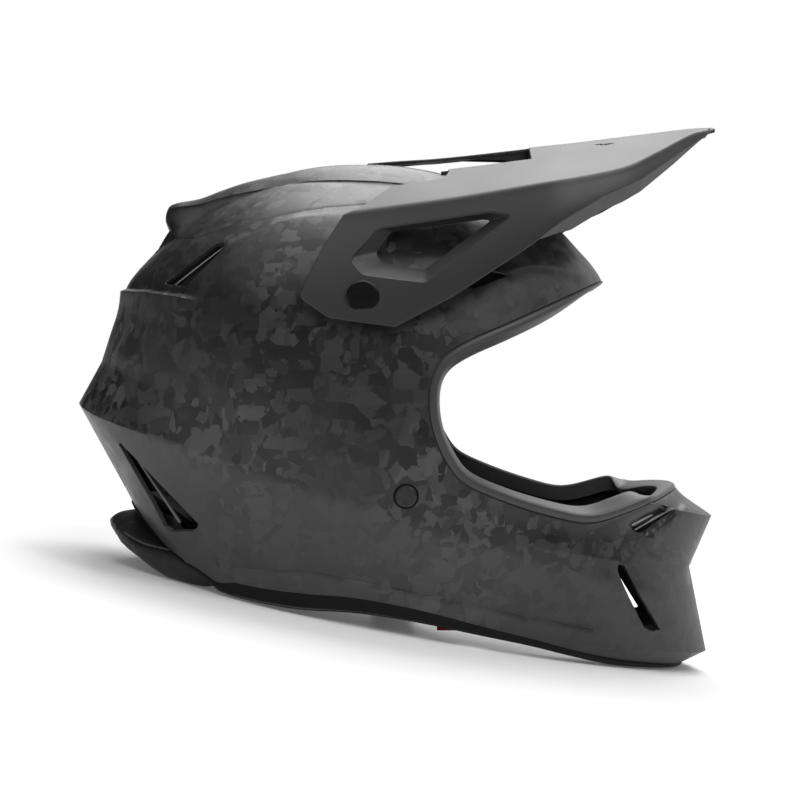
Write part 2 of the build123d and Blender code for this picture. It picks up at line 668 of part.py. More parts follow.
def visor_screw(side):
    """Disc screw of one side, with a slot for a coin and a shank into the insert."""
    with BuildPart() as screw:
        with BuildSketch(Plane(origin=(pivot_x, side * screw_seat, pivot_z), x_dir=(1, 0, 0), z_dir=(0, side, 0))):
            Circle(screw_head_diameter / 2)
        extrude(amount=screw_head_thickness)
        chamfer(screw.faces().sort_by(Axis.Y)[-1 if side > 0 else 0].edges(), screw_head_thickness / 4)
        with BuildSketch(Plane(origin=(pivot_x, side * screw_seat, pivot_z), x_dir=(1, 0, 0), z_dir=(0, side, 0))):
            Circle(screw_shank_diameter / 2)
        extrude(amount=pivot_seat - insert_length - screw_seat)
        top = side * (screw_seat + screw_head_thickness)
        with BuildSketch(Plane(origin=(pivot_x, top, pivot_z), x_dir=(1, 0, 0), z_dir=(0, side, 0))):
            RectangleRounded(screw_slot_length, screw_slot_width, screw_slot_width / 3)
        extrude(amount=-screw_slot_depth, mode=Mode.SUBTRACT)
    return screw.part


with BuildPart() as visor_screw_left:
    add(visor_screw(1))
with BuildPart() as visor_screw_right:
    add(visor_screw(-1))

# Every piece by its name
pieces = {
    "outer_shell": outer_shell,
    "eyeport_trim": eyeport_trim,
    "base_trim": base_trim,
    "impact_liner": impact_liner,
    "chin_bar_liner": chin_bar_liner,
    "cheek_liners": cheek_liners,
    "comfort_liner": comfort_liner,
    "cheek_pad_left": cheek_pad_left,
    "cheek_pad_right": cheek_pad_right,
    "cheek_release_tabs": cheek_release_tabs,
    "neck_roll": neck_roll,
    "rivet_caps": rivet_caps,
    "strap_rivets": strap_rivets,
    "strap_anchor_plates": strap_anchor_plates,
    "chin_strap_left": chin_strap_left,
    "chin_strap_right": chin_strap_right,
    "strap_snap": strap_snap,
    "d_ring_upper": d_ring_upper,
    "d_ring_lower": d_ring_lower,
    "visor": visor,
    "visor_washers": visor_washers,
    "visor_thread_inserts": visor_thread_inserts,
    "visor_screw_left": visor_screw_left,
    "visor_screw_right": visor_screw_right,
}

# Set the helmet down on its base: nose up by the stand tilt, its middle over the origin
front_x = base_front_share * shell_length
tilt = Location((0, 0, 0), (0, -stand_tilt, 0)) * Location((-front_x, 0, 0))
boxes = [piece.part.moved(tilt).bounding_box() for piece in pieces.values()]
middle_x = (min(box.min.X for box in boxes) + max(box.max.X for box in boxes)) / 2
stand = Location((-middle_x, 0, 0)) * tilt
for label, piece in pieces.items():
    placed = piece.part.moved(stand)
    placed.label = label
    export_step(placed, f"parts/{label}.step")
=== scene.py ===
import math

import bmesh
import bpy
import numpy as np
from mathutils import Matrix, Vector


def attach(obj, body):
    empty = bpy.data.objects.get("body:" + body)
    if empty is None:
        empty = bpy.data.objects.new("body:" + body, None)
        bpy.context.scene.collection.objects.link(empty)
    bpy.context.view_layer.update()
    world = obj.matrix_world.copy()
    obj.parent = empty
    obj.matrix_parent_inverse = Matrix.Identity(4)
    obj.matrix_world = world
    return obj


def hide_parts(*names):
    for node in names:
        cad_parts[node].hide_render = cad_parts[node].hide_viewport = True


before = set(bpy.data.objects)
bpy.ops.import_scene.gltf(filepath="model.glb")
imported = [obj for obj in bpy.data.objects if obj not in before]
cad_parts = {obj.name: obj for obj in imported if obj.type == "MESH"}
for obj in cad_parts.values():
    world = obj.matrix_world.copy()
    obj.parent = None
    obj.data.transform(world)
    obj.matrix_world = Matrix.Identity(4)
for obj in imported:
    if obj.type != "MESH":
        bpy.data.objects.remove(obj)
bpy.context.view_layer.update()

# Shapes are worked out in millimetres as the helmet is worn: X forward, Z up, the head's middle plane
# at Y = 0, the photographed side at negative Y. Then they are tilted and set down where the CAD stands.
MM = 0.001
TILT = math.radians(10.9)
PIVOT_X = 344.986  # worn X of the line that the helmet is turned about
SHIFT_X = -177.628  # X of the stand's origin seen from that line


def stand(points):
    """Worn millimetres to metres on the stand: turned nose up about Y, then moved over the origin."""
    x, y, z = (np.asarray(points, float)[..., i] for i in range(3))
    x = x - PIVOT_X
    return np.stack([
        (x * math.cos(TILT) - z * math.sin(TILT) - SHIFT_X) * MM,
        y * MM,
        (x * math.sin(TILT) + z * math.cos(TILT)) * MM,
    ], -1)


def as_worn(places):
    """Metres on the stand back to worn millimetres, the inverse of stand."""
    x, z = places[:, 0] / MM + SHIFT_X, places[:, 2] / MM
    return np.stack([x * math.cos(TILT) + z * math.sin(TILT) + PIVOT_X, places[:, 1] / MM,
                     z * math.cos(TILT) - x * math.sin(TILT)], 1)


# ---- Hull: the same rings as the CAD's ----
# rear x, rear z, front x, front z, half width, widest x, squareness of nose along and across
HULL_RINGS = np.array([
    (65.9, 30.1, 322.2, -17.9, 92.0, 165.1, 2.0, 1.80),
    (53.9, 54.0, 341.0, 0.9, 99.0, 165.1, 2.0, 1.75),
    (46.0, 67.9, 359.5, 9.8, 104.0, 166.2, 2.0, 1.80),
    (0.0, 152.6, 353.7, 38.4, 118.0, 172.0, 2.05, 1.75),
    (13.0, 176.0, 349.7, 58.1, 120.0, 172.0, 2.05, 1.75),
    (15.9, 185.0, 362.4, 87.3, 120.0, 172.0, 2.05, 1.75),
    (18.1, 191.9, 341.0, 104.6, 119.5, 170.9, 2.05, 1.80),
    (20.6, 199.1, 330.1, 135.0, 118.0, 168.0, 2.05, 1.90),
    (23.5, 206.9, 313.9, 180.0, 114.0, 162.2, 2.1, 2.0),
    (27.9, 219.1, 296.8, 225.4, 104.0, 156.0, 2.1, 2.1),
    (42.0, 236.1, 284.9, 239.9, 93.0, 154.9, 2.1, 2.1),
    (60.1, 252.0, 270.1, 254.6, 78.5, 156.0, 2.1, 2.1),
    (82.2, 265.9, 244.0, 267.6, 59.0, 157.1, 2.1, 2.1),
    (107.9, 276.9, 216.1, 278.0, 38.0, 157.8, 2.1, 2.1),
    (132.1, 282.9, 190.1, 283.8, 17.0, 158.9, 2.0, 2.0),
    (159.5, 284.9, 160.5, 284.9, 0.4, 160.0, 2.0, 2.0),
])
TAIL = 2.2  # squareness of the rear half
LOW_RIDGE, HIGH_RIDGE, CHIN_LIP = 3, 4, 5  # numbers of the rings with a sharp change


def smooth_rows(table, at):
    """Rows of a table at fractional places, by a cubic with limited slopes so that it never overshoots."""
    at = np.asarray(at, float)
    step = np.diff(table, axis=0)
    slope = np.zeros_like(table)
    both = step[:-1] * step[1:] > 0
    slope[1:-1] = np.where(both, 2 * step[:-1] * step[1:] / np.where(both, step[:-1] + step[1:], 1), 0)
    slope[0], slope[-1] = step[0], step[-1]
    i = np.clip(np.floor(at).astype(int), 0, len(table) - 2)
    t = (at - i)[:, None]
    return (table[i] * (1 + 2 * t) * (1 - t) ** 2 + slope[i] * t * (1 - t) ** 2
            + table[i + 1] * t ** 2 * (3 - 2 * t) - slope[i + 1] * t ** 2 * (1 - t))


def ring_rows(at):
    """Ring sizes at fractional ring numbers, straight below the chin lip and smooth above it."""
    at = np.asarray(at, float)
    i = np.clip(np.floor(at).astype(int), 0, len(HULL_RINGS) - 2)
    t = (at - i)[:, None]
    straight = HULL_RINGS[i] * (1 - t) + HULL_RINGS[i + 1] * t
    smooth = smooth_rows(HULL_RINGS[CHIN_LIP:], np.clip(at - CHIN_LIP, 0, None))
    return np.where((at < CHIN_LIP)[:, None], straight, smooth)


def hull_points(rows, turn):
    """Points on the hull: a superellipse in each ring's leaning plane, turn 0 at the tail, pi at the nose."""
    rear_x, rear_z, front_x, front_z, half, widest, along, across = (rows[:, k, None] for k in range(8))
    c, s = np.abs(np.cos(turn)), np.abs(np.sin(turn))
    ahead = np.cos(turn) < 0
    x = np.where(ahead, widest + (front_x - widest) * c ** (2 / along),
                 widest - (widest - rear_x) * c ** (2 / TAIL))
    y = half * s ** np.where(ahead, 2 / across, 2 / TAIL) * -np.sign(np.sin(turn))
    z = rear_z + (front_z - rear_z) * (x - rear_x) / (front_x - rear_x)
    return np.stack([x, y + 0 * x, z], -1)


DENSE_RINGS = ring_rows(np.linspace(0, len(HULL_RINGS) - 1, 1200))


def hull_y(x, z):
    """Half width of the hull at places of the side view.

    A binary search finds the two dense rings just below and above each place. The ring between them is a
    superellipse: half width times the root of 1 - c * c, with c the share of its length, each to a power."""
    x, z = np.broadcast_arrays(np.asarray(x, float), np.asarray(z, float))

    def height(number):
        rear_x, rear_z, front_x, front_z = (DENSE_RINGS[number, i] for i in range(4))
        return rear_z + (front_z - rear_z) * (x - rear_x) / (front_x - rear_x)

    last = len(DENSE_RINGS) - 1
    low, high = np.zeros(x.shape, int), np.full(x.shape, last + 1)
    while (low < high).any():
        middle = (low + high) // 2
        below = height(np.minimum(middle, last)) < z
        low, high = np.where((low < high) & below, middle + 1, low), np.where((low < high) & ~below, middle, high)
    above = np.clip(low, 1, last)
    t = np.clip((z - height(above - 1)) / (height(above) - height(above - 1) + 1e-9), 0, 1)[..., None]
    ring = DENSE_RINGS[above - 1] * (1 - t) + DENSE_RINGS[above] * t
    rear, _, front, _, half, widest, along, across = (ring[..., i] for i in range(8))
    ahead = x > widest
    share = np.where(ahead, (x - widest) / (front - widest), (widest - x) / (widest - rear))
    c = np.clip(share, 0, 1) ** (np.where(ahead, along, TAIL) / 2)
    return half * np.sqrt(1 - c * c) ** (2 / np.where(ahead, across, TAIL))


# ---- Mesh tools ----


def grid_triangles(rows, columns, closed):
    """Two triangles for each cell of a grid of points, the last column joined to the first if closed."""
    i, j = np.meshgrid(np.arange(rows - 1), np.arange(columns if closed else columns - 1), indexing="ij")
    k = (j + 1) % columns
    a, b, c, d = i * columns + j, i * columns + k, (i + 1) * columns + k, (i + 1) * columns + j
    flip = ((i + j) % 2 == 0)[..., None]
    first = np.where(flip, np.stack([a, b, c], -1), np.stack([a, b, d], -1))
    second = np.where(flip, np.stack([a, c, d], -1), np.stack([b, c, d], -1))
    return np.concatenate([first.reshape(-1, 3), second.reshape(-1, 3)])


def grid_quads(rows, columns, closed=False, rows_closed=False):
    """One four-sided face for each cell of a grid of points, its columns or its rows joined in a ring."""
    i, j = np.meshgrid(np.arange(rows if rows_closed else rows - 1),
                       np.arange(columns if closed else columns - 1), indexing="ij")
    k, m = (i + 1) % rows, (j + 1) % columns
    return np.stack([i * columns + j, i * columns + m, k * columns + m, k * columns + j], -1).reshape(-1, 4)


def volume(points, faces):
    """Signed volume under a mesh's faces, positive where they point outwards."""
    a, b, c, d = (points[faces[:, i], :3] for i in range(4))
    return (np.cross(a, b) * c).sum() + (np.cross(a, c) * d).sum()


def outwards(points, faces):
    """A closed mesh with its faces turned to point outwards."""
    return points, faces[:, ::-1] if volume(points, faces) < 0 else faces


def fan_ends(around, count, middle):
    """Triangles, as faces with the last point twice, from the first and last rings to their middle points."""
    ring = np.arange(around)
    after = (ring + 1) % around
    start = np.stack([ring * count, after * count, 0 * ring + middle, 0 * ring + middle], 1)
    end = np.stack([after * count + count - 1, ring * count + count - 1, 0 * ring + middle + 1,
                    0 * ring + middle + 1], 1)
    return np.concatenate([start, end])


def square_bar(grid):
    """Four lines of points as the edges of a closed bar."""
    n = grid.shape[1]
    caps = np.array([[0, n, 2 * n, 3 * n], [4 * n - 1, 3 * n - 1, 2 * n - 1, n - 1]])
    return outwards(grid.reshape(-1, 3), np.concatenate([grid_quads(4, n, rows_closed=True), caps]))


def joined(parts):
    """Several meshes as one list of points and one of faces."""
    starts = np.cumsum([0] + [len(p) for p, _ in parts[:-1]])
    return np.concatenate([p for p, _ in parts]), np.concatenate([f + s for (_, f), s in zip(parts, starts)])


def cut(points, triangles, field, keep_all=False):
    """Split triangles along the line where a field of the points is zero, and drop its negative side."""
    field = np.where(np.abs(field) < 1e-6, 0.0, field)
    side = field[triangles]
    crossing = (side.min(1) < 0) & (side.max(1) > 0)
    whole = triangles[~crossing & (keep_all | (side.max(1) > 0) | (side.min(1) >= 0))]
    mixed = triangles[crossing]
    if not len(mixed):
        return points, whole
    edges = np.concatenate([mixed[:, [0, 1]], mixed[:, [1, 2]], mixed[:, [2, 0]]])
    edges.sort(1)
    edges, place = np.unique(edges, axis=0, return_inverse=True)
    place = place.reshape(3, -1).T
    f0, f1 = field[edges[:, 0]], field[edges[:, 1]]
    split = f0 * f1 < 0
    share = np.where(split, f0 / np.where(split, f0 - f1, 1), 0)[:, None]
    middle = points[edges[:, 0]] * (1 - share) + points[edges[:, 1]] * share
    number = np.full(len(edges), -1)
    number[split] = len(points) + np.arange(split.sum())
    points = np.concatenate([points, middle[split]])
    m = number[place]
    f = field[mixed]
    out = [whole]
    for sign in ((1, -1) if keep_all else (1,)):
        inside = f * sign > 0
        for turn in range(3):
            t = np.roll(mixed, -turn, 1)
            n = np.roll(m, -turn, 1)
            s = np.roll(inside, -turn, 1)
            zero = np.roll(f == 0, -turn, 1)
            one = s[:, 0] & ~s[:, 1] & ~s[:, 2] & ~zero[:, 1] & ~zero[:, 2]
            out.append(np.stack([t[:, 0], n[:, 0], n[:, 2]], 1)[one])
            two = s[:, 0] & s[:, 1] & ~s[:, 2] & ~zero[:, 2]
            out.append(np.stack([t[:, 0], t[:, 1], n[:, 1]], 1)[two])
            out.append(np.stack([t[:, 0], n[:, 1], n[:, 2]], 1)[two])
            edge = s[:, 0] & zero[:, 1] & ~s[:, 2] & ~zero[:, 2]
            out.append(np.stack([t[:, 0], t[:, 1], n[:, 2]], 1)[edge])
            edge = s[:, 0] & zero[:, 2] & ~s[:, 1] & ~zero[:, 1]
            out.append(np.stack([t[:, 0], n[:, 0], t[:, 2]], 1)[edge])
    return points, np.concatenate(out)


def tidy_mesh(points, triangles):
    """Drop unused points and triangles without area."""
    a, b, c = (points[triangles[:, i], :3] for i in range(3))
    triangles = triangles[np.linalg.norm(np.cross(b - a, c - a), axis=1) > 1e-6]
    used = np.unique(triangles)
    renumber = np.zeros(len(points), int)
    renumber[used] = np.arange(len(used))
    return points[used], renumber[triangles]


def point_normals(points, triangles):
    """Unit normals of the points, the sum of the normals of the triangles round each."""
    a, b, c = (points[triangles[:, i], :3] for i in range(3))
    face = np.cross(b - a, c - a)
    normals = np.zeros((len(points), 3))
    for i in range(3):
        np.add.at(normals, triangles[:, i], face)
    return normals / np.maximum(np.linalg.norm(normals, axis=1, keepdims=True), 1e-12)


def open_edges(triangles):
    """Edges that only one triangle uses, in the direction that triangle runs along them."""
    edges = np.concatenate([triangles[:, [0, 1]], triangles[:, [1, 2]], triangles[:, [2, 0]]])
    key = np.sort(edges, 1)
    _, first, count = np.unique(key, axis=0, return_index=True, return_counts=True)
    return edges[first[count == 1]]


def edge_frames(points, triangles):
    """For the points on open edges: their numbers, and unit vectors that point away from the sheet."""
    normals = point_normals(points, triangles)
    edge = open_edges(triangles)
    along = points[edge[:, 1], :3] - points[edge[:, 0], :3]
    away = np.zeros((len(points), 3))
    for i in range(2):
        np.add.at(away, edge[:, i], np.cross(along, normals[edge[:, i]]))
    used = np.unique(edge)
    away = away[used] / np.maximum(np.linalg.norm(away[used], axis=1, keepdims=True), 1e-9)
    return edge, used, away, normals


def thicken(points, triangles, depth, lip=0.35, inside=True):
    """Close a sheet into a wall of a depth, with a lip's chamfers along its open edges."""
    edge, used, away, normals = edge_frames(points, triangles)
    count = len(points)
    rows = [points[used, :3] + away * out - normals[used] * down
            for out, down in ((lip, lip), (lip, depth - lip), (0, depth))]
    if inside:
        inner = points - normals * depth
        rows[2] = inner[used]
        points, triangles = np.concatenate([points, inner]), np.concatenate([triangles, triangles[:, ::-1] + count])
    numbers = [np.arange(count)]
    for row in rows[:2 if inside else 3]:
        number = np.zeros(count, int)
        number[used] = len(points) + np.arange(len(used))
        numbers.append(number)
        points = np.concatenate([points, row])
    if inside:
        numbers.append(np.arange(count) + count)
    for upper, lower in zip(numbers[:-1], numbers[1:]):
        triangles = np.concatenate([triangles,
                                    np.stack([upper[edge[:, 1]], upper[edge[:, 0]], lower[edge[:, 0]]], 1),
                                    np.stack([upper[edge[:, 1]], lower[edge[:, 0]], lower[edge[:, 1]]], 1)])
    return points, triangles


def loops(triangles):
    """The open edges of a sheet chained into loops of point numbers, the longest first."""
    following = dict(map(tuple, open_edges(triangles).tolist()))
    found = []
    while following:
        start, here = following.popitem()
        loop = [start]
        while here != start:
            loop.append(here)
            here = following.pop(here, start)
        found.append(np.array(loop))
    return sorted(found, key=len, reverse=True)


def relaxed(values, rounds):
    """Values round a closed loop, each averaged with its neighbours a number of times."""
    for _ in range(rounds):
        values = (np.roll(values, 1, 0) + 2 * values + np.roll(values, -1, 0)) / 4
    return values


def edge_path(points, triangles, loop, step, rounds=2):
    """A loop at even steps: its places, the surface normals there and the directions off the sheet."""
    _, used, away, normals = edge_frames(points, triangles)
    if points.shape[1] > 3:
        normals = points[:, 3:6]
    spread = np.zeros((len(points), 3))
    spread[used] = away
    table = spaced(np.concatenate([points[loop, :3], normals[loop], spread[loop]], 1), step, True)
    table = relaxed(table, rounds)
    place, out, off = table[:, :3], table[:, 3:6], table[:, 6:]
    along = np.roll(place, -1, 0) - np.roll(place, 1, 0)
    along /= np.linalg.norm(along, axis=1, keepdims=True)
    out -= along * (out * along).sum(1, keepdims=True)
    out /= np.linalg.norm(out, axis=1, keepdims=True)
    side = np.cross(along, out)
    side *= np.sign((side * off).sum())
    return place, out, side


def moulding(path, profile):
    """A strip along a path: each profile point lies so far off the sheet and so far out of it."""
    place, out, side = path
    profile = np.asarray(profile, float)
    if profile.ndim == 2:
        profile = np.broadcast_to(profile, (len(place), *profile.shape))
    grid = place[:, None] + side[:, None] * profile[..., 0:1] + out[:, None] * profile[..., 1:2]
    rows, columns = grid.shape[:2]
    return outwards(grid.transpose(1, 0, 2).reshape(-1, 3), grid_quads(columns, rows, True))


def outline_distance(points, outline):
    """Signed distance in side view to a closed outline, positive outside it."""
    p = points[:, [0, 2]]
    a = np.asarray(outline, float)
    b = np.roll(a, -1, 0)
    best = np.full(len(p), 1e9)
    inside = np.zeros(len(p), bool)
    for (ax, az), (bx, bz) in zip(a, b):
        dx, dz = bx - ax, bz - az
        t = np.clip(((p[:, 0] - ax) * dx + (p[:, 1] - az) * dz) / (dx * dx + dz * dz + 1e-12), 0, 1)
        best = np.minimum(best, np.hypot(p[:, 0] - ax - t * dx, p[:, 1] - az - t * dz))
        crosses = (az > p[:, 1]) != (bz > p[:, 1])
        inside ^= crosses & (p[:, 0] < ax + (p[:, 1] - az) * dx / (bz - az if bz != az else 1e-12))
    return np.where(inside, -best, best)


def line_distance(points, line):
    """Distance in side view to an open line, and the signed side of it, positive above."""
    p = points[:, [0, 2]]
    best = np.full(len(p), 1e9)
    side = np.zeros(len(p))
    for (ax, az), (bx, bz) in zip(line[:-1], line[1:]):
        dx, dz = bx - ax, bz - az
        t = np.clip(((p[:, 0] - ax) * dx + (p[:, 1] - az) * dz) / (dx * dx + dz * dz), 0, 1)
        d = np.hypot(p[:, 0] - ax - t * dx, p[:, 1] - az - t * dz)
        s = (dx * (p[:, 1] - az) - dz * (p[:, 0] - ax)) / math.hypot(dx, dz)
        nearer = d < best
        best = np.where(nearer, d, best)
        side = np.where(nearer, s, side)
    return best, side


def step_up(value, low, high):
    """Smooth step from 0 at low to 1 at high."""
    t = np.clip((value - low) / (high - low), 0, 1)
    return t * t * (3 - 2 * t)


def near(distance, reach, power=1):
    """One at a line, falling to 0 at a distance from it, straight or to a power."""
    return np.clip(1 - distance / reach, 0, 1) ** power


def rounded(outline, radius, per_corner=6):
    """An outline with its corners rounded by arcs, as a quadratic curve between tangent points."""
    outline = np.asarray(outline, float)
    out = []
    for i in range(len(outline)):
        here, before, after = outline[i], outline[i - 1], outline[(i + 1) % len(outline)]
        reach_in = min(radius, np.linalg.norm(before - here) * 0.45)
        reach_out = min(radius, np.linalg.norm(after - here) * 0.45)
        start = here + (before - here) / np.linalg.norm(before - here) * reach_in
        end = here + (after - here) / np.linalg.norm(after - here) * reach_out
        t = np.linspace(0, 1, per_corner)[:, None]
        out.append(start * (1 - t) ** 2 + 2 * here * t * (1 - t) + end * t ** 2)
    return np.concatenate(out)


def spaced(line, step, closed=False):
    """Points at even steps along a line."""
    line = np.asarray(line, float)
    if closed:
        line = np.concatenate([line, line[:1]])
    length = np.concatenate([[0], np.cumsum(np.linalg.norm(np.diff(line, axis=0), axis=1))])
    count = max(int(round(length[-1] / step)), 4)
    at = np.linspace(0, length[-1], count + 1)
    if closed:
        at = at[:-1]
    return np.stack([np.interp(at, length, line[:, k]) for k in range(line.shape[1])], 1)


def piece(name, points, faces, material, body="helmet", sharp=32.0, worn=True, slot=None, replaces=None):
    """Make a mesh object from points and faces, smooth but for edges sharper than an angle in degrees.

    Its body moves it, its slot is not used, and it stands for the CAD node it replaces."""
    mesh = bpy.data.meshes.new(name)
    place = points[:, :3]
    if worn:
        place = stand(place)
        place[:, 2] = np.maximum(place[:, 2], 0.0)
    mesh.from_pydata(place.tolist(), [], np.asarray(faces).tolist())
    mesh.validate()
    mesh.polygons.foreach_set("use_smooth", [True] * len(mesh.polygons))
    mesh.set_sharp_from_angle(angle=math.radians(sharp))
    obj = bpy.data.objects.new(name, mesh)
    bpy.context.scene.collection.objects.link(obj)
    mesh.materials.append(material)
    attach(obj, body)
    if replaces:
        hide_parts(replaces)
    return obj


# ---- Materials ----


CHIP_GREYS = [(0.0, 0.0075), (0.26, 0.0125), (0.50, 0.027), (1.0, 0.070)]
# The ridge round the sides lies near a plane of the stand: this height, less this share of X. Below it the carbon's
# colour is painted lighter: painted light from the floor.
RIDGE_HEIGHT, RIDGE_LEAN = 0.0613, 0.1228


class Value:
    """A socket of a material, with arithmetic that adds its Math nodes."""

    def __init__(self, finish, socket):
        self.finish, self.socket = finish, socket

    def maths(self, operation, *others):
        return self.finish.node("ShaderNodeMath", {"operation": operation}, [self, *others])

    def __add__(self, other): return self.maths("ADD", other)
    def __sub__(self, other): return self.maths("SUBTRACT", other)
    def __mul__(self, other): return self.maths("MULTIPLY", other)
    def __rsub__(self, other): return self.finish.node("ShaderNodeMath", {"operation": "SUBTRACT"}, [other, self])
    __radd__, __rmul__ = __add__, __mul__

    def over(self, limit):
        """One where the value is over a limit, else 0."""
        return self.maths("GREATER_THAN", limit)

    def between(self, low, high):
        """Map low to 0 and high to 1, smoothly and held at the ends."""
        return self.finish.node("ShaderNodeMapRange", {"interpolation_type": "SMOOTHSTEP"},
                                {"Value": self, "From Min": low, "From Max": high}, "Result")


class Finish:
    """A material built in code, with one method for every kind of node."""

    def __init__(self, name):
        self.material = bpy.data.materials.new(name)
        self.material.use_nodes = True
        self.tree = self.material.node_tree
        self.shader = self.tree.nodes["Principled BSDF"]

    def node(self, kind, settings=None, sockets=(), output=0):
        made = self.tree.nodes.new(kind)
        for key, value in (settings or {}).items():
            if key == "stops":
                ramp = made.color_ramp.elements
                while len(ramp) < len(value):
                    ramp.new(0.5)
                for element, (place, shade) in zip(ramp, value):
                    element.position = place
                    element.color = (*shade, 1) if np.ndim(shade) else (shade, shade, shade, 1)
            else:
                setattr(made, key, value)
        pairs = sockets.items() if isinstance(sockets, dict) else enumerate(sockets)
        for key, value in pairs:
            self.feed(made.inputs[key], value)
        return Value(self, made.outputs[output])

    def feed(self, socket, value):
        if isinstance(value, Value):
            self.tree.links.new(value.socket, socket)
        else:
            socket.default_value = value

    def surface(self, **sockets):
        for key, value in sockets.items():
            self.feed(self.shader.inputs[key.replace("_", " ")], value)
        return self.material

    def place(self):
        return self.node("ShaderNodeTexCoord", output="Object")

    def moved(self, place, scale, turn=(0, 0, 0)):
        return self.node("ShaderNodeMapping", None, {"Vector": place, "Scale": scale, "Rotation": turn})

    def noise(self, scale, detail=2.0, vector=None, output="Fac"):
        return self.node("ShaderNodeTexNoise", None,
                         {"Vector": vector or self.place(), "Scale": scale, "Detail": detail}, output)

    def vector(self, operation, *values):
        return self.node("ShaderNodeVectorMath", {"operation": operation}, values)

    def mix(self, amount, first, second, blend="MIX"):
        made = self.tree.nodes.new("ShaderNodeMix")
        made.data_type, made.blend_type = "RGBA", blend
        for socket, value in ((made.inputs[0], amount), (made.inputs[6], first), (made.inputs[7], second)):
            if not isinstance(value, Value) and np.ndim(value) == 1 and len(value) == 3:
                value = (*value, 1)
            self.feed(socket, value)
        return Value(self, made.outputs[2])

    def ramp(self, value, stops):
        return self.node("ShaderNodeValToRGB", {"stops": stops}, [value], "Color")

    def bump(self, height, strength, distance, normal=None):
        sockets = {"Height": height, "Strength": strength, "Distance": distance}
        if normal is not None:
            sockets["Normal"] = normal
        return self.node("ShaderNodeBump", None, sockets, "Normal")

    def separate(self, colour):
        made = self.tree.nodes.new("ShaderNodeSeparateColor")
        self.feed(made.inputs[0], colour)
        return [Value(self, made.outputs[i]) for i in range(3)]


def forged_carbon():
    """Satin clear coat over short flat chips: three layers of angular cells, each chip its own grey and tilt. Below
    the side ridge the colour is painted lighter, as painted light from the floor, and on the rear top panel painted
    darker, as painted shade under the spoiler.
    """
    finish = Finish("forged_carbon")
    warp = finish.noise(55.0, 0.0, output="Color")
    place = finish.mix(0.0012, finish.place(), warp, "LINEAR_LIGHT")
    layers = []
    for scale, stretch, turn, metric in ((108.0, (1.0, 1.0, 1.25), (0.4, 0.2, 0.3), "CHEBYCHEV"),
                                         (126.0, (1.5, 1.5, 0.8), (0.5, 0.3, 0.9), "MANHATTAN"),
                                         (180.0, (1.0, 1.0, 1.0), (1.1, 0.7, 0.2), "CHEBYCHEV")):
        layers.append(finish.node("ShaderNodeTexVoronoi", {"distance": metric},
                                  {"Vector": finish.moved(place, stretch, turn), "Scale": scale}, "Color"))
    top, second = finish.separate(layers[0]), finish.separate(layers[1])
    lower = finish.mix(second[2].over(0.5), layers[2], layers[1])
    chip = finish.mix(top[2].over(0.55), lower, layers[0])
    grey = finish.separate(chip)[0]
    cloud = finish.noise(9.0, 1.0).between(0.40, 0.62)
    # places on the stand: above the ridge, at the chin's plain front, and on the rear top panel. Below the ridge
    # the chips are calmer and painted lighter, a painted light from the floor; at the chin's front the lift is
    # smaller and the tone a little darker.
    ahead, high = (finish.node("ShaderNodeSeparateXYZ", None, [finish.place()], axis) for axis in (0, 2))
    above = (ahead * RIDGE_LEAN + high).between(RIDGE_HEIGHT - 0.004, RIDGE_HEIGHT + 0.004)
    plain = ahead.between(0.02, 0.12)
    # The rear top panel under the spoiler is painted darker and with less chip contrast: painted shade.
    rear = ahead.between(-0.075, -0.115) * high.between(0.135, 0.165)
    spread = (cloud * 0.55 + 0.35) * (above * 0.6 + 0.4) * (1 - plain * 0.5) * (1 - rear * 0.5)
    # painted light: the tone below the ridge is lifted (less at the chin's front, which is also a little darker),
    # and the rear top panel is lowered as painted shade
    tone_with_painted_light = 0.25 + (grey - 0.36) * spread + (1 - above) * (0.32 - plain * 0.17) - rear * 0.08 - plain * 0.04
    colour = finish.ramp(tone_with_painted_light, CHIP_GREYS)
    fine = finish.noise(900.0, 2.0)
    tilt = finish.vector("SUBTRACT", chip, (0.5, 0.5, 0.5))
    tilt = finish.node("ShaderNodeVectorMath", {"operation": "SCALE"}, {0: tilt, "Scale": 0.07})
    facing = finish.node("ShaderNodeNewGeometry", output="Normal")
    facing = finish.vector("NORMALIZE", finish.vector("ADD", facing, tilt))
    rough = 0.36 + grey * 0.10 + fine * 0.05
    return finish.surface(Base_Color=colour, Roughness=rough, Specular_IOR_Level=0.5,
                          Normal=finish.bump(fine, 0.02, 0.0003, facing))


def matt_plastic(name, grey, rough, grain=0.05, gloss=0.3):
    """Moulded matt plastic: an even dark grey with a fine leather-like grain."""
    finish = Finish(name)
    spots = finish.noise(1400.0, 3.0)
    clouds = finish.noise(30.0, 2.0)
    colour = finish.ramp(clouds, [(0.3, grey * 0.9), (0.7, grey * 1.1)])
    return finish.surface(Base_Color=colour, Roughness=rough + clouds * 0.08 + spots * 0.05,
                          Specular_IOR_Level=gloss, Normal=finish.bump(spots, grain, 0.0002))


def fabric(name, shade, weave=900.0, lift=0.25):
    """Knitted lining: fine ribs crossed by noise, with a soft sheen."""
    finish = Finish(name)
    ribs = finish.node("ShaderNodeTexWave", {"bands_direction": "DIAGONAL"},
                       {"Vector": finish.place(), "Scale": weave / 6, "Distortion": 1.5, "Detail": 2.0}, "Fac")
    fuzz = finish.noise(weave, 3.0)
    mixed = ribs * 0.5 + fuzz * 0.5
    dark = tuple(c * 0.6 for c in shade)
    colour = finish.mix(mixed, dark, tuple(c * 1.3 for c in shade))
    return finish.surface(Base_Color=colour, Roughness=0.92, Sheen_Weight=0.12, Specular_IOR_Level=0.2,
                          Normal=finish.bump(mixed, lift, 0.0004))


def metal(name, shade, rough):
    """Turned or brushed metal with fine scratches."""
    finish = Finish(name)
    lines = finish.noise(60.0, 4.0, vector=finish.moved(finish.place(), (1, 1, 60)))
    return finish.surface(Base_Color=(*shade, 1), Metallic=1.0, Roughness=rough + lines * 0.12,
                          Normal=finish.bump(lines, 0.06, 0.0002))


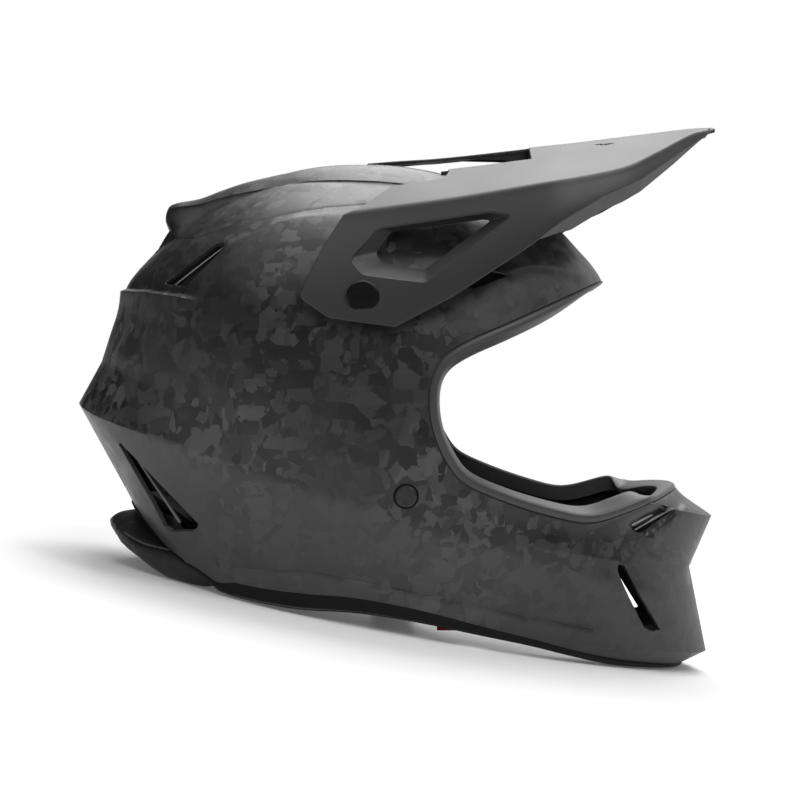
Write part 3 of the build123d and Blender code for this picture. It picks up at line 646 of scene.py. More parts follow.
carbon = forged_carbon()
visor_plastic = matt_plastic("visor_plastic", 0.019, 0.42, gloss=0.42)
trim_rubber = matt_plastic("trim_rubber", 0.006, 0.55, 0.12, 0.15)
lip_rubber = matt_plastic("lip_rubber", 0.036, 0.42, 0.10, 0.5)
gasket_rubber = matt_plastic("gasket_rubber", 0.004, 0.50, 0.12, 0.15)
foam_black = matt_plastic("bead_foam", 0.008, 0.8, 0.4, 0.15)
# The fins are real, but their light grey, much lighter than the plastic round them, is a painted highlight along
# their edges.
fin_painted_highlight = matt_plastic("fin_painted_highlight", 0.16, 0.35, 0.05, 0.5)
lining = fabric("lining_knit", (0.012, 0.012, 0.013))
collar = matt_plastic("collar_cloth", 0.014, 0.5, 0.5, 0.5)
# Cloth of a light cord, much lighter than the lining: a painted highlight for the highlight along the shell's lower
# edge.
highlight_cord_cloth = fabric("edge_highlight_cord", (0.055, 0.055, 0.056), 1800.0)
red_tape = fabric("red_tape", (0.20, 0.012, 0.018), 1500.0)
webbing = fabric("webbing", (0.010, 0.010, 0.011), 1500.0)
steel = metal("steel", (0.42, 0.42, 0.43), 0.28)
black_metal = matt_plastic("black_anodised", 0.0025, 0.24, 0.02, 0.3)
brass = metal("brass", (0.55, 0.40, 0.16), 0.30)

# The solids that show themselves
NODE_FINISHES = {
    "impact_liner": foam_black, "chin_bar_liner": foam_black, "cheek_liners": foam_black,
    "rivet_caps": carbon, "strap_rivets": steel, "strap_anchor_plates": steel, "strap_snap": black_metal,
    "d_ring_upper": steel, "d_ring_lower": steel, "visor_washers": black_metal, "visor_thread_inserts": brass,
    "visor_screw_left": black_metal, "visor_screw_right": black_metal,
}
for node, finish in NODE_FINISHES.items():
    node_object = bpy.data.objects[node]
    node_object.data.materials.clear()
    node_object.data.materials.append(finish)

# ---- Shell: outlines and lines of the side view, as worn X and Z ----
EYEPORT = rounded([
    (339.0, 103.6), (322.2, 99.2), (287.9, 87.8), (269.3, 92.1), (245.5, 99.4), (220.3, 109.6),
    (212.2, 115.0), (202.7, 131.0), (198.0, 146.9), (197.4, 162.2), (200.1, 173.2), (204.5, 179.5),
    (209.7, 183.8), (223.0, 191.1), (236.8, 196.4), (259.2, 206.1), (293.9, 221.1), (325.8, 231.2),
    (416.3, 251.4), (416.3, 103.6),
], 14.0)
RIM = [(20, 70.0), (74, 62.0), (84.6, 51.9), (108, 47.6), (131, 44.8), (156.6, 44.3), (182, 40.9),
       (204.7, 36.2), (253.8, 24.4), (289.6, 13.2), (300.5, 10.0), (345, 1.4), (420, -13)]
NECK = [(-50, 98.5), (28, 98.5), (36, 91.6), (63, 66.5), (74, 61.9), (84.6, 51.9)]
CHIN_VENT = rounded([(300.4, 67.2), (303.9, 67.1), (328.5, 27.0), (326.6, 26.2), (318.3, 28.8),
                     (300.7, 62.6)], 2.0)
LIP_VENT = rounded([(309.4, 87.2), (328.0, 95.4), (333.5, 96.6), (338.0, 94.8), (317.3, 82.5),
                    (313.1, 82.8)], 1.5)
TOP_VENT = rounded([(54.0, 219.2), (83.8, 241.5), (88.5, 241.5), (88.4, 238.7), (67.2, 217.4)], 1.2)
LOW_VENT = rounded([(27.5, 138.0), (78.2, 85.3), (58.1, 84.5)], 2.0)
BROW_VENT = rounded([(214.3, 218.8), (226.9, 225.9), (242.2, 223.6), (221.8, 215.6)], 1.5)

REAR_PANEL = [(40.0, 252.5), (64.2, 243.4), (88.8, 242.4), (66.5, 214.6), (46.1, 213.9), (23.6, 215.3),
              (-10, 215.9), (-10, 252)]
LEDGE = [(-10, 215.9), (23.6, 215.3), (46.1, 213.9), (74.0, 209.8)]
LEDGE_TOP = [(-10, 218.1), (23.6, 217.3), (46.1, 216.5), (74.0, 213.2)]
SHOULDER = [(86.0, 238.2), (90.4, 239.6), (102.9, 244.3), (113.1, 249.6), (126.7, 254.0), (144.7, 256.4),
            (170, 257)]
WEDGE = [(0.0, 152.9), (2.7, 152.1), (27.5, 138.2), (58.1, 84.5)]
WEDGE_LOW = [(36.0, 101.5), (42.2, 96.0), (57.9, 84.5)]
FACET = [(318.6, 81.0), (342.6, 96.0), (375, 84), (345.2, 61.1)]
FACET_LOW = [(310.5, 79.5), (318.6, 81.0), (345.2, 61.1)]
SEAM = [(90, 66.5), (111.1, 65.3), (137.0, 65.5), (151.9, 62.5), (167.3, 59.3), (192.8, 53.4), (227.0, 45.9),
        (271.7, 35.1), (294.1, 30.0), (340, 18), (380, 8)]
CHIN_LINE = [(236, 80.5), (267, 76.0), (312, 67.0), (352, 58.0)]
BROW_LINE = [(216, 217), (229.6, 226.5), (242.2, 224.6), (251.8, 228.4), (266.1, 227.5), (290, 222)]


def carve(points):
    """How far the shell stands out of the plain hull at each point, in millimetres: a sum of creases,
    valleys and shelves, each a height times a fall with the distance from its line, faded at its ends."""
    x, y = points[:, 0], np.abs(points[:, 1])
    amount = np.zeros(len(points))
    # rear top panel: sunk behind the ledge and the vent, with a soft upper edge
    ledge, above = line_distance(points, LEDGE)
    upper, _ = line_distance(points, REAR_PANEL[:3])
    _, past = line_distance(points, REAR_PANEL[2:4])
    inside = outline_distance(points, REAR_PANEL) < 0.2
    inside = inside * np.minimum(step_up(past, 0.0, 3.0), step_up(upper, 0, 3.0))
    shelf = np.clip(above / 2.2, 0, 1)
    amount -= 4.2 * inside * shelf * step_up(y, 10, 34)
    # ledge: the surface below it stands out and falls back over 16, its top a narrow sloping shelf
    lower = np.where(above < 0, near(ledge, 16.0, 1.6), (1 - shelf) * (ledge < 3))
    amount += 2.6 * lower * step_up(x, 76, 64)
    # shoulder line: a crease that falls back over 4 above it and over 24 below it, fading to the front
    line, above = line_distance(points, SHOULDER)
    crease = np.where(above > 0, near(line, 4.0), near(line, 24.0, 1.5))
    amount += 1.9 * crease * step_up(x, 168, 112) * step_up(x, 80, 92) * step_up(y, 30, 50)
    # wedge lines at the rear: a crease like a folded edge
    amount += 2.4 * near(line_distance(points, WEDGE)[0], 17.0) * step_up(y, 18, 60)
    amount += 1.2 * near(line_distance(points, WEDGE_LOW)[0], 7.0) * step_up(y, 30, 45)
    # chin: a valley along the upper vent, the edge of the flat plate in front of it, and a long crease
    clear = step_up(outline_distance(points, EYEPORT), 0.5, 5.0)
    valley = near(outline_distance(points, LIP_VENT), 7.0)
    amount -= 2.6 * valley * step_up(outline_distance(points, FACET), -0.6, 0.6) * clear
    amount += 1.4 * near(line_distance(points, FACET_LOW)[0], 6.0) * clear * step_up(y, 10, 30)
    line, above = line_distance(points, CHIN_LINE)
    crease = np.where(above > 0, near(line, 11.0), near(line, 20.0, 1.5))
    amount += 2.2 * crease * step_up(x, 232, 285) * clear * step_up(y, 10, 34)
    # seam near the rim: a fine groove, with the band below it standing out a little
    line, above = line_distance(points, SEAM)
    behind = step_up(x, 300, 280)
    amount -= 0.7 * near(line, 0.9) * behind
    amount += np.where(above < 0, 0.6 * step_up(line, 0.4, 1.6), 0) * behind
    # brow line: a low crease under the visor
    line, above = line_distance(points, BROW_LINE)
    amount += 1.8 * np.where(above < 0, near(line, 4.0), near(line, 16.0)) * step_up(y, 20, 60) * clear
    return amount


def sliced(points, triangles, lines):
    """Cut lines into a mesh without removing anything, so that creases fall on its edges."""
    for line in lines:
        far, side = line_distance(points, line)
        y = np.abs(points[:, 1])
        field = np.where((far < 14) & (y > 6), side, np.sign(side) * 20)
        points, triangles = cut(points, triangles, field, keep_all=True)
    return points, triangles


def hull_sheet():
    """The hull on a grid of ring number and turn, with its normals, cut open at the face and the base."""
    ring_numbers = np.concatenate([
        np.linspace(0, LOW_RIDGE, 40)[:-1], np.linspace(LOW_RIDGE, HIGH_RIDGE, 12)[:-1],
        np.linspace(HIGH_RIDGE, CHIN_LIP, 9)[:-1], np.linspace(CHIN_LIP, 11, 80)[:-1],
        np.linspace(11, len(HULL_RINGS) - 1, 34),
    ])
    columns = 276
    turn = np.linspace(0, 2 * math.pi, columns, endpoint=False)[None, :]
    points = hull_points(ring_rows(ring_numbers), turn).reshape(-1, 3)
    triangles = grid_triangles(len(ring_numbers), columns, True)
    points = np.concatenate([points, point_normals(points, triangles)], 1)
    base = RIM[1:] + [(420, -60), (20, -60), (20, 61.9)]
    neck = NECK + [(84.6, -60), (-50, -60)]
    for outline in (EYEPORT, base, neck):
        points, triangles = tidy_mesh(*cut(points, triangles, outline_distance(points, outline)))
    return points, triangles


def shell_surface(points, triangles):
    """The sheet with its vents cut, creased along its lines and carved along its normals."""
    for outline, inner in ((CHIN_VENT, 18), (LIP_VENT, 30), (TOP_VENT, 18), (LOW_VENT, 18), (BROW_VENT, 18)):
        field = np.where(np.abs(points[:, 1]) > inner, outline_distance(points, outline), 50)
        points, triangles = tidy_mesh(*cut(points, triangles, field))
    points, triangles = sliced(points, triangles, (
        LEDGE, LEDGE_TOP, SHOULDER, WEDGE, FACET[:2], FACET_LOW, SEAM, REAR_PANEL[:3], REAR_PANEL[2:4], CHIN_LINE))
    points, triangles = tidy_mesh(points[:, :3], triangles)
    return points + point_normals(points, triangles) * carve(points)[:, None], triangles


sheet_points, sheet_triangles = hull_sheet()
base_loop, eye_loop = loops(sheet_triangles)[:2]
if sheet_points[base_loop, 2].mean() > sheet_points[eye_loop, 2].mean():
    base_loop, eye_loop = eye_loop, base_loop
EYE_PATH = edge_path(sheet_points, sheet_triangles, eye_loop, 2.5, 8)
BASE_PATH = edge_path(sheet_points, sheet_triangles, base_loop, 3.0, 6)
shell_points, shell_triangles = shell_surface(sheet_points, sheet_triangles)
SHELL_WALL, VISOR_WALL = 2.8, 2.5
piece("shell", *thicken(shell_points, shell_triangles, SHELL_WALL), carbon, slot="shell", replaces="outer_shell")


def eyeport_moulding():
    """Rubber along the eyeport: a dark groove, a round bead, a fine crease, then a slope into the shell."""
    bead = [(-1.2, -0.9), (0.15, -1.3), (0.7, -1.2), (1.0, -0.1), (1.9, 0.45), (3.2, 0.6), (4.6, 0.2), (5.4, -0.7)]
    slope = [(5.8, -1.9), (6.6, -4.4), (7.4, -6.8), (8.0, -9.2), (8.0, -10.4), (7.0, -11.2), (-1.2, -9.0)]
    profile = np.repeat(np.array([bead + slope], float), len(EYE_PATH[0]), 0)
    y, z = np.abs(EYE_PATH[0][:, 1]), EYE_PATH[0][:, 2]
    wide = step_up(y, 30, 88)
    off = np.where(z < 150, 0.85 + 0.15 * wide, 0.40 + 0.60 * wide)
    deep = np.where(z < 150, 0.80 + 0.20 * wide, 0.70 + 0.30 * wide)
    profile[..., 0] *= off[:, None]
    profile[..., 1] = np.where(profile[..., 1] < -1.5, profile[..., 1] * deep[:, None], profile[..., 1])
    return moulding(EYE_PATH, profile)


piece("eyeport_lip", *eyeport_moulding(), lip_rubber, sharp=28, slot="trim", replaces="eyeport_trim")


def base_moulding():
    """Rubber round the rim, a band as tall as the place asks, from the shell's face round to its inside."""
    place = BASE_PATH[0]
    height = np.interp(place[:, 0], [20, 64, 82, 95, 130, 160, 215, 260, 340],
                       [1.3, 1.3, 4.0, 9, 9.5, 8, 5.5, 4.0, 3.4])
    face = np.array([(-1.0, 0.1), (-0.96, 0.9), (-0.8, 1.15), (-0.3, 1.2)])
    edge = np.array([(0.9, 0.3), (1.3, -0.8), (1.3, -3.0), (0.6, -4.2), (-4.0, -4.4), (-4.0, -3.0)])
    profile = np.repeat(np.concatenate([face, edge])[None], len(place), 0)
    profile[:, :len(face), 0] *= height[:, None]
    return moulding(BASE_PATH, profile)


piece("rim_band", *base_moulding(), trim_rubber, sharp=40, slot="trim", replaces="base_trim")


def hull_top(x, y):
    """Height of the hull's upper side over places of the plan view: up a column of heights over each place
    the half width shrinks, and the height where it equals the place's Y is read between two of them."""
    heights = np.linspace(190, 284.8, 90)
    half = hull_y(x[..., None], heights)
    solid = half > 0.5
    under = (solid & (half >= y[..., None])).sum(-1) - 1
    under = np.clip(under, 0, solid.sum(-1) - 2)[..., None]
    wide, narrow = (np.take_along_axis(half, under + i, -1)[..., 0] for i in (0, 1))
    share = np.clip((wide - y) / (wide - narrow), 0, 1)
    return heights[under[..., 0]] * (1 - share) + heights[under[..., 0] + 1] * share


# x, z, half width of the crown band, drop at its edge, reach of the flank beyond it, its pull forwards
HOOD_ROWS = np.array([
    (44.5, 238.0, 16.0, 1.5, 6.0, 1.0), (48.2, 244.2, 19.0, 1.8, 8.0, 3.0), (51.4, 249.4, 20.0, 2.0, 10.0, 4.4),
    (52.9, 251.9, 18.0, 2.2, 15.0, 4.6), (51.4, 255.6, 14.0, 2.4, 21.0, 6.3), (50.2, 259.3, 13.0, 2.4, 23.5, 7.9),
    (50.5, 261.9, 13.0, 2.4, 25.0, 8.2), (52.2, 264.8, 14.0, 2.6, 26.5, 7.4), (56.4, 266.5, 16.0, 3.0, 29.5, 6.0),
    (68.4, 268.6, 21.0, 4.0, 37.0, 3.0), (82.0, 273.6, 24.8, 5.4, 40.0, 1.4), (96.0, 278.2, 28.6, 7.1, 42.0, 0.0),
    (116.7, 283.0, 34.0, 8.7, 37.0, 0), (130.5, 286.0, 37.2, 9.5, 33.5, 0), (143.0, 287.6, 39.6, 10.2, 30.0, 0),
    (154.7, 288.2, 41.5, 10.8, 27.0, 0), (168.0, 288.2, 43.2, 11.4, 23.6, 0), (180.6, 287.6, 43.7, 11.8, 21.3, 0),
    (199.5, 284.8, 43.9, 12.3, 18.0, 0), (218.0, 279.8, 43.6, 13.0, 15.0, 0), (240.0, 271.0, 42.0, 14.6, 13.0, 0),
    (262.0, 258.0, 40.0, 16.0, 12.0, 0),
])


def bowed(start, pull, end, share):
    """A quadratic curve from start to end, drawn towards pull in between."""
    return start * (1 - share) ** 2 + pull * 2 * share * (1 - share) + end * share ** 2


def hood_surface():
    """Raised spine on the crown that ends in a spoiler: rows along the profile, columns across it.

    Each row rises from the hull in a hollow curve, turns over a fine edge and crowns over the middle."""
    length = np.concatenate([[0], np.cumsum(np.hypot(*np.diff(HOOD_ROWS[:, :2], axis=0).T))])
    at = np.interp(np.linspace(0, length[-1], 130), length, np.arange(len(HOOD_ROWS)))
    x, z, half, edge_drop, flare, pull = smooth_rows(HOOD_ROWS, at).T
    t = np.linspace(-1, 1, 61)
    crease = 0.58
    a = np.abs(t)[None, :]
    fall = np.where(a < crease, 0.16 * (a / crease) ** 2,
                    0.16 + 0.84 * (np.clip(a - crease, 0, 1) / (1 - crease)) ** 1.25)
    y = half[:, None] * t[None, :]
    # the middle dips under the visor's tongue
    dip = 2.6 * step_up(x, 116, 126)[:, None] * step_up(np.abs(y), 16.5, 13.5)
    rows = np.stack([x[:, None] + 0 * y, y, z[:, None] - edge_drop[:, None] * fall - dip], -1)
    share = np.linspace(0, 1, 19)[:, None]
    foot_y, edge_z = half + flare, rows[:, 0, 2] - 1.0
    foot_z = hull_top(x + pull, foot_y)
    hollow_x = x + pull * share
    hollow_y = bowed(half + 0.3, half + 1.0 + flare * 0.34, foot_y, share)
    hollow_z = bowed(edge_z, np.minimum(foot_z + 5.0, edge_z), foot_z, share)
    skin = hull_top(hollow_x, hollow_y)
    hollow_z = np.maximum(hollow_z, skin + 0.45 * (1 - share ** 8))
    hollow_z[-1] = skin[-1] - 1.2
    side = np.stack([hollow_x, hollow_y, hollow_z], -1).transpose(1, 0, 2)
    rows = np.concatenate([(side * [1, -1, 1])[:, ::-1], rows, side], 1)
    return rows.reshape(-1, 3), grid_quads(*rows.shape[:2])[:, ::-1]


piece("spine_hood", *hood_surface(), carbon, sharp=30, slot="shell")


def vent_ribs():
    """Thin fins set inside the vents, from one end of each to the other, on both sides."""
    parts = []
    for start, end, deep, thick in (
        ((61.0, 218.6), (88.3, 239.9), 2.6, 0.6), ((40.0, 122.0), (63.0, 88.5), 5.0, 1.2),
        ((311.6, 84.8), (334.0, 95.4), 2.0, 0.5), ((310.3, 87.3), (322.0, 92.6), 2.0, 0.5),
    ):
        line = np.linspace(start, end, 16)
        across = np.array([-(end[1] - start[1]), end[0] - start[0]]) / math.dist(start, end) * thick / 2
        half = hull_y(line[:, 0], line[:, 1])
        for side in (-1, 1):
            edges = []
            for shift, out in ((1, 0), (-1, 0), (-1, 1), (1, 1)):
                place = line + across * shift
                edges.append(np.stack([place[:, 0], side * (half - deep - out * 5.0), place[:, 1]], -1))
            parts.append(square_bar(np.stack(edges, 0)))
    return joined(parts)


piece("vent_fins", *vent_ribs(), fin_painted_highlight, sharp=30, slot="trim")

# ---- Visor ----
# x, lower edge y and z, crease y and z, top corner y and z
VISOR_ROWS = np.array([
    (115.8, 119.4, 196.5, 90.6, 252.0, 27.0, 283.5), (165.1, 119.8, 197.4, 93.6, 258.4, 26.4, 287.6),
    (210.0, 117.0, 203.7, 97.0, 264.4, 25.8, 291.4), (258.1, 105.6, 239.3, 97.0, 272.5, 24.6, 296.7),
    (282.0, 96.0, 254.3, 91.0, 276.6, 22.8, 299.4), (305.2, 82.8, 267.3, 79.0, 282.3, 20.4, 302.4),
    (325.1, 62.4, 280.3, 60.0, 292.0, 18.0, 305.0), (350.1, 33.6, 296.5, 31.8, 305.0, 14.4, 308.1),
    (364.2, 21.6, 303.4, 20.6, 308.1, 12.0, 308.9),
])
VISOR_OUTLINE = [
    (130.3, 211.8), (141.2, 235.8), (153.1, 255.8), (163.6, 261.0), (165.1, 268.8), (165.1, 323.7),
    (354.6, 323.7), (360.6, 308.9), (360.6, 307.5), (354.2, 302.6), (314.9, 276.3), (292.5, 266.2),
    (269.0, 252.0), (252.7, 239.6), (210.0, 211.8), (180.6, 196.5), (146.2, 201.1),
]
VISOR_REAR = [(100, 250), (163.6, 261.0), (178.5, 272.6), (207.0, 277.0), (210.4, 281.0), (212.0, 323.7),
              (100, 323.7)]
WINDOW_OUT = [(156.0, 231.5), (171.9, 248.6), (231.5, 257.3), (242.6, 255.0), (196.8, 218.9), (163.2, 223.0)]
WINDOW_IN = [(170.2, 235.2), (178.6, 246.6), (228.0, 253.2), (231.9, 252.6), (196.0, 225.9), (173.6, 229.9)]
TONGUE_HALF, SLOT_HALF, SLOT_FRONT = 13.0, 48.0, 256.3


def visor_row(x):
    """The visor's sizes at places along it."""
    return smooth_rows(VISOR_ROWS, np.interp(x, VISOR_ROWS[:, 0], np.arange(len(VISOR_ROWS))))


def side_swell(x):
    """How far the visor's side face bulges between its crease and its lower edge."""
    return np.interp(x, [115, 165, 250, 320, 364], [4.2, 4.2, 3.4, 1.4, 0.2])


def visor_surface(rows_count=150):
    """Sections across the visor, from the near edge over the crease and the top to the far edge."""
    row = smooth_rows(VISOR_ROWS, np.linspace(0, len(VISOR_ROWS) - 1, rows_count))
    edge, crease, top = row[:, 1:3], row[:, 3:5], row[:, 5:7]
    drop, bend = 8.5, 3.0  # how far the sides run on below the edge, and the size of the crease's bend
    low = edge + (edge - crease) / np.maximum(crease[:, 1:] - edge[:, 1:], 6.0) * drop
    low[:, 1] = edge[:, 1] - drop
    unit = lambda v: v / np.linalg.norm(v, axis=1, keepdims=True)
    below, beyond = crease + unit(low - crease) * bend, crease + unit(top - crease) * bend
    swell = side_swell(row[:, 0])[:, None] * np.array([1.0, 0.25])
    parts = [low + (below - low) * s + swell * math.sin(math.pi * s) for s in np.linspace(0, 1, 22)]
    parts += [bowed(below, crease, beyond, s) for s in np.linspace(0, 1, 7)[1:]]
    parts += [beyond + (top - beyond) * s for s in np.linspace(0, 1, 22)[1:]]
    parts += [np.stack([top[:, 0] * s, top[:, 1] + 0.3 * (1 - s * s)], 1) for s in np.linspace(1, 0, 9)[1:]]
    half = np.stack(parts, 1)
    section = np.concatenate([half, half[:, -2::-1] * [-1, 1]], 1)
    x = np.repeat(row[:, :1], section.shape[1], 1)
    return np.stack([x, -section[..., 0], section[..., 1]], -1)


def visor_shape():
    """The visor's sheet: trimmed to its outline, with the slots, the tongue, the side windows and two small
    slits cut."""
    grid = visor_surface()
    points, triangles = grid.reshape(-1, 3), grid_triangles(*grid.shape[:2], False)
    for field in (
        lambda x, y, z: -outline_distance(points, VISOR_OUTLINE),
        lambda x, y, z: np.maximum(outline_distance(points, VISOR_REAR), TONGUE_HALF - y),
        lambda x, y, z: np.maximum.reduce([TONGUE_HALF - y, y - SLOT_HALF, x - SLOT_FRONT, 258.0 - z]),
        lambda x, y, z: np.where(y > 60, outline_distance(points, rounded(WINDOW_OUT, 2.5)), 50),
        lambda x, y, z: (np.maximum(np.abs(x - 298) / 6.0, np.abs(y - 31.5) / 1.5) - 1) * 1.5,
    ):
        x, y, z = points.T
        points, triangles = tidy_mesh(*cut(points, triangles, field(x, np.abs(y), z)))
    return points, triangles[:, ::-1]


def on_visor(x, z):
    """Half width of the visor's side face at a place of the side view."""
    row = visor_row(x)
    share = (np.asarray(z) - row[:, 2]) / (row[:, 4] - row[:, 2])
    bulge = side_swell(x) * np.sin(math.pi * np.clip((share + 0.12) / 1.12, 0, 1))
    return row[:, 1] + (row[:, 3] - row[:, 1]) * share + bulge


def window_frame(steps=10):
    """Sloping frame of each side window: facets from the outer corners down to the inner corners."""
    outer, inner = rounded(WINDOW_OUT, 2.5, 5), rounded(WINDOW_IN, 2.0, 5)
    dense = lambda line: np.concatenate([np.linspace(a, b, steps, endpoint=False)
                                         for a, b in zip(line, np.roll(line, -1, 0))])
    outer, inner = dense(outer), dense(inner)
    parts = []
    for side in (-1, 1):
        rings = []
        for share, deep in ((-0.02, 0.0), (0.0, 0.3), (0.92, 6.2), (1.0, 6.8), (1.0, 9.0)):
            p = outer + (inner - outer) * share
            rings.append(np.stack([p[:, 0], side * (on_visor(p[:, 0], p[:, 1]) - deep), p[:, 1]], -1))
        parts.append((np.concatenate(rings), grid_quads(len(rings), len(outer), True)[:, ::side]))
    return joined(parts)


def top_height(x, y):
    """Height of the visor's top face at a place seen from above."""
    row = visor_row(x)
    share = np.clip((np.abs(y) - row[:, 5]) / (row[:, 3] - row[:, 5]), 0, 1)
    return row[:, 6] + (row[:, 4] - row[:, 6]) * share


def visor_wall():
    """The visor's sheet with its thickness. Its tongue is thinner than the blade, and its tip a little
    raised, so it clears the crown when the visor is tilted down."""
    points, triangles = thicken(*visor_shape(), VISOR_WALL, 0.5)
    x, y, z = points.T
    tongue = (np.abs(y) < TONGUE_HALF + 0.5) * (1 - step_up(x, 225, 242))
    thinned = np.maximum(z, top_height(x, y) - np.interp(x, [165, 185, 205], [0.7, 0.9, 1.3]))
    points[:, 2] += (thinned - z + 0.5 * (1 - step_up(x, 178, 204))) * tongue
    return points, triangles


def fin(path, down, wide=1.9):
    """A thin wall that hangs from a path, so deep at each point and so wide, closed all round."""
    along = np.gradient(path[:, :2], axis=0)
    across = np.stack([-along[:, 1], along[:, 0], 0 * along[:, 0]], 1)
    across *= wide / 2 / np.linalg.norm(along, axis=1, keepdims=True)
    drop = np.asarray(down, float).reshape(-1, 1) * [0, 0, 1]
    return square_bar(np.stack([path + across, path - across, path - across - drop, path + across - drop], 0))


def under_top(x, y, gap, down_at, down):
    """A wall that hangs a gap below the visor's top face, its depth given at some places along X."""
    x, y = np.broadcast_arrays(x, y)
    return fin(np.stack([x, y, top_height(x, y) - gap], 1), np.interp(x, down_at, down))


def visor_ribs():
    """Walls that stiffen the visor: along the tongue, round the slots and down the middle underneath, and
    the flat strips inside its lower edges."""
    parts = []
    for side in (-1, 1):
        inner = side * (TONGUE_HALF - 1.0)
        parts += [
            under_top(np.linspace(165.6, SLOT_FRONT, 40), inner, 0.6, [165, 218, 242, 256], [0.5, 0.5, 4.0, 8.0]),
            under_top(SLOT_FRONT + 0.8, np.linspace(TONGUE_HALF - 1, SLOT_HALF, 20) * side, 0.6, [256], [8.0]),
            under_top(np.linspace(206.0, SLOT_FRONT, 24), side * (SLOT_HALF + 0.6), 0.8,
                      [206, 225, 256], [2, 4, 6]),
        ]
        x = np.linspace(SLOT_FRONT, 345, 40)
        y = np.interp(x, [SLOT_FRONT, 345], [inner, 5.0 * side])
        parts.append(under_top(x, y, 2.0, [256, 345], [8.0, 1.2]))
        x = np.linspace(258.0, 358.0, 52)
        z = np.interp(x, *np.array(VISOR_OUTLINE[8:14][::-1]).T)
        reach = np.interp(x, [258, 275, 305, 335, 358], [0.2, 1.0, 1.0, 0.55, 0.03])[:, None]
        outer = np.stack([x, visor_row(x)[:, 1] - 1.6, z + 0.6], 1)
        inner = outer + reach * [0, -13.0, -8.4]
        lift = np.array([0, -0.8, 1.6])
        strip = np.stack([outer + [0, 0.4, -0.4], inner, inner + lift, outer + lift], 0)
        parts.append(square_bar(strip * [1, side, 1]))
    return joined(parts)


piece("visor_blade", *visor_wall(), visor_plastic, "visor", 26, slot="visor", replaces="visor")
piece("visor_ribs", *visor_ribs(), visor_plastic, "visor", 26, slot="visor")
piece("visor_window_frames", *window_frame(), visor_plastic, "visor", 26, slot="visor")


def tube(path, radius, around=10, closed=False):
    """A round tube of a radius along a path, each ring square to the path, its ends closed unless joined."""
    path = np.asarray(path, float)
    along = (np.roll(path, -1, 0) - np.roll(path, 1, 0)) if closed else np.gradient(path, axis=0)
    along /= np.linalg.norm(along, axis=1, keepdims=True)
    first = np.cross(along, (0.31, 0.22, 0.92))
    first /= np.linalg.norm(first, axis=1, keepdims=True)
    second = np.cross(along, first)
    turn = np.linspace(0, 2 * math.pi, around, endpoint=False)[:, None, None]
    grid = path + radius * (first * np.cos(turn) + second * np.sin(turn))
    if closed:
        return outwards(grid.reshape(-1, 3), grid_quads(around, len(path), True, True))
    return closed_ends(grid)


def closed_ends(grid):
    """Rings of points joined along a path, the two end rings each closed by a fan round its middle."""
    around, count = grid.shape[:2]
    points = np.concatenate([grid.reshape(-1, 3), grid[:, :1].mean(0), grid[:, -1:].mean(0)])
    quads = np.concatenate([grid_quads(around, count, rows_closed=True), fan_ends(around, count, around * count)])
    return outwards(points, quads)


# ---- Rings round the caps on the cheeks ----
CAP_PLACE, RING_RADIUS = (186.45, 106.65), 6.2
turn = np.linspace(0, 2 * math.pi, 48, endpoint=False)
cap_x, cap_z = CAP_PLACE[0] + RING_RADIUS * np.cos(turn), CAP_PLACE[1] + RING_RADIUS * np.sin(turn)
rings = [tube(np.stack([cap_x, side * (hull_y(cap_x, cap_z) + 0.15), cap_z], 1), 0.6, closed=True)
         for side in (-1, 1)]
piece("cap_rings", *joined(rings), gasket_rubber, slot="trim")

# ---- Soft goods ----
# centre x, y and z of the roll's sections, half length, half thickness and lean of each, from the middle out
ROLL_ROWS = np.array([
    (36.0, 0.0, 82.0, 21.5, 9.0, 6.0), (43.5, 25.2, 74.0, 20.0, 9.0, 10.0), (52.0, 38.0, 66.0, 18.0, 8.5, 20.0),
    (60.5, 47.5, 61.5, 15.0, 8.0, 36.0), (68.0, 55.5, 60.5, 11.5, 7.0, 46.0), (78.0, 63.5, 59.5, 9.0, 5.5, 52.0),
    (88.0, 68.0, 58.0, 5.5, 4.0, 60.0),
])
HIGHLIGHT_CORD_TURN = math.radians(24)


def roll_section(turn, stations=97, grow=0.0):
    """Points of the roll at section angles: an oval carried round the back, leaning in to the sides."""
    share = np.linspace(-1, 1, stations)
    rows = smooth_rows(ROLL_ROWS, np.abs(share) * (len(ROLL_ROWS) - 1))
    rows[:, 1] *= np.sign(share)
    centre = rows[:, :3]
    along = np.gradient(centre[:, :2], axis=0)
    out = np.stack([-along[:, 1], along[:, 0]], 1) / np.linalg.norm(along, axis=1, keepdims=True)
    lean = np.radians(rows[:, 5:6])
    reach = np.concatenate([out * np.cos(lean), np.sin(lean)], 1)
    rise = np.concatenate([-out * np.sin(lean), np.cos(lean)], 1)
    end = np.sqrt(np.clip(1 - np.abs(share) ** 14, 0.05, 1))[:, None]
    long, thick = rows[:, 3:4] * end + grow, rows[:, 4:5] * end + grow
    turn = np.asarray(turn)[:, None, None]
    return centre + reach * long * np.cos(turn) + rise * thick * np.sin(turn)


def mesh_values(values, kind):
    """The places or normals of a mesh's points as an array."""
    flat = np.empty(len(values) * 3)
    values.foreach_get(kind, flat)
    return flat.reshape(-1, 3)


def evaluated(obj):
    """A new mesh of an object as its modifiers leave it."""
    return bpy.data.meshes.new_from_object(obj.evaluated_get(bpy.context.evaluated_depsgraph_get()))


def swollen_places(soft):
    """Where the points of a closed mesh lie after 20 frames as cloth under pressure, without gravity."""
    cloth = soft.modifiers.new("pressure", "CLOTH")
    cloth.settings.use_pressure = True
    cloth.settings.uniform_pressure_force = 4.0
    cloth.settings.quality = 4
    cloth.settings.effector_weights.gravity = 0.0
    for number in range(1, 21):
        bpy.context.scene.frame_set(number)
    places = mesh_values(evaluated(soft).vertices, "co")
    soft.modifiers.clear()
    bpy.context.scene.frame_set(1)
    return places


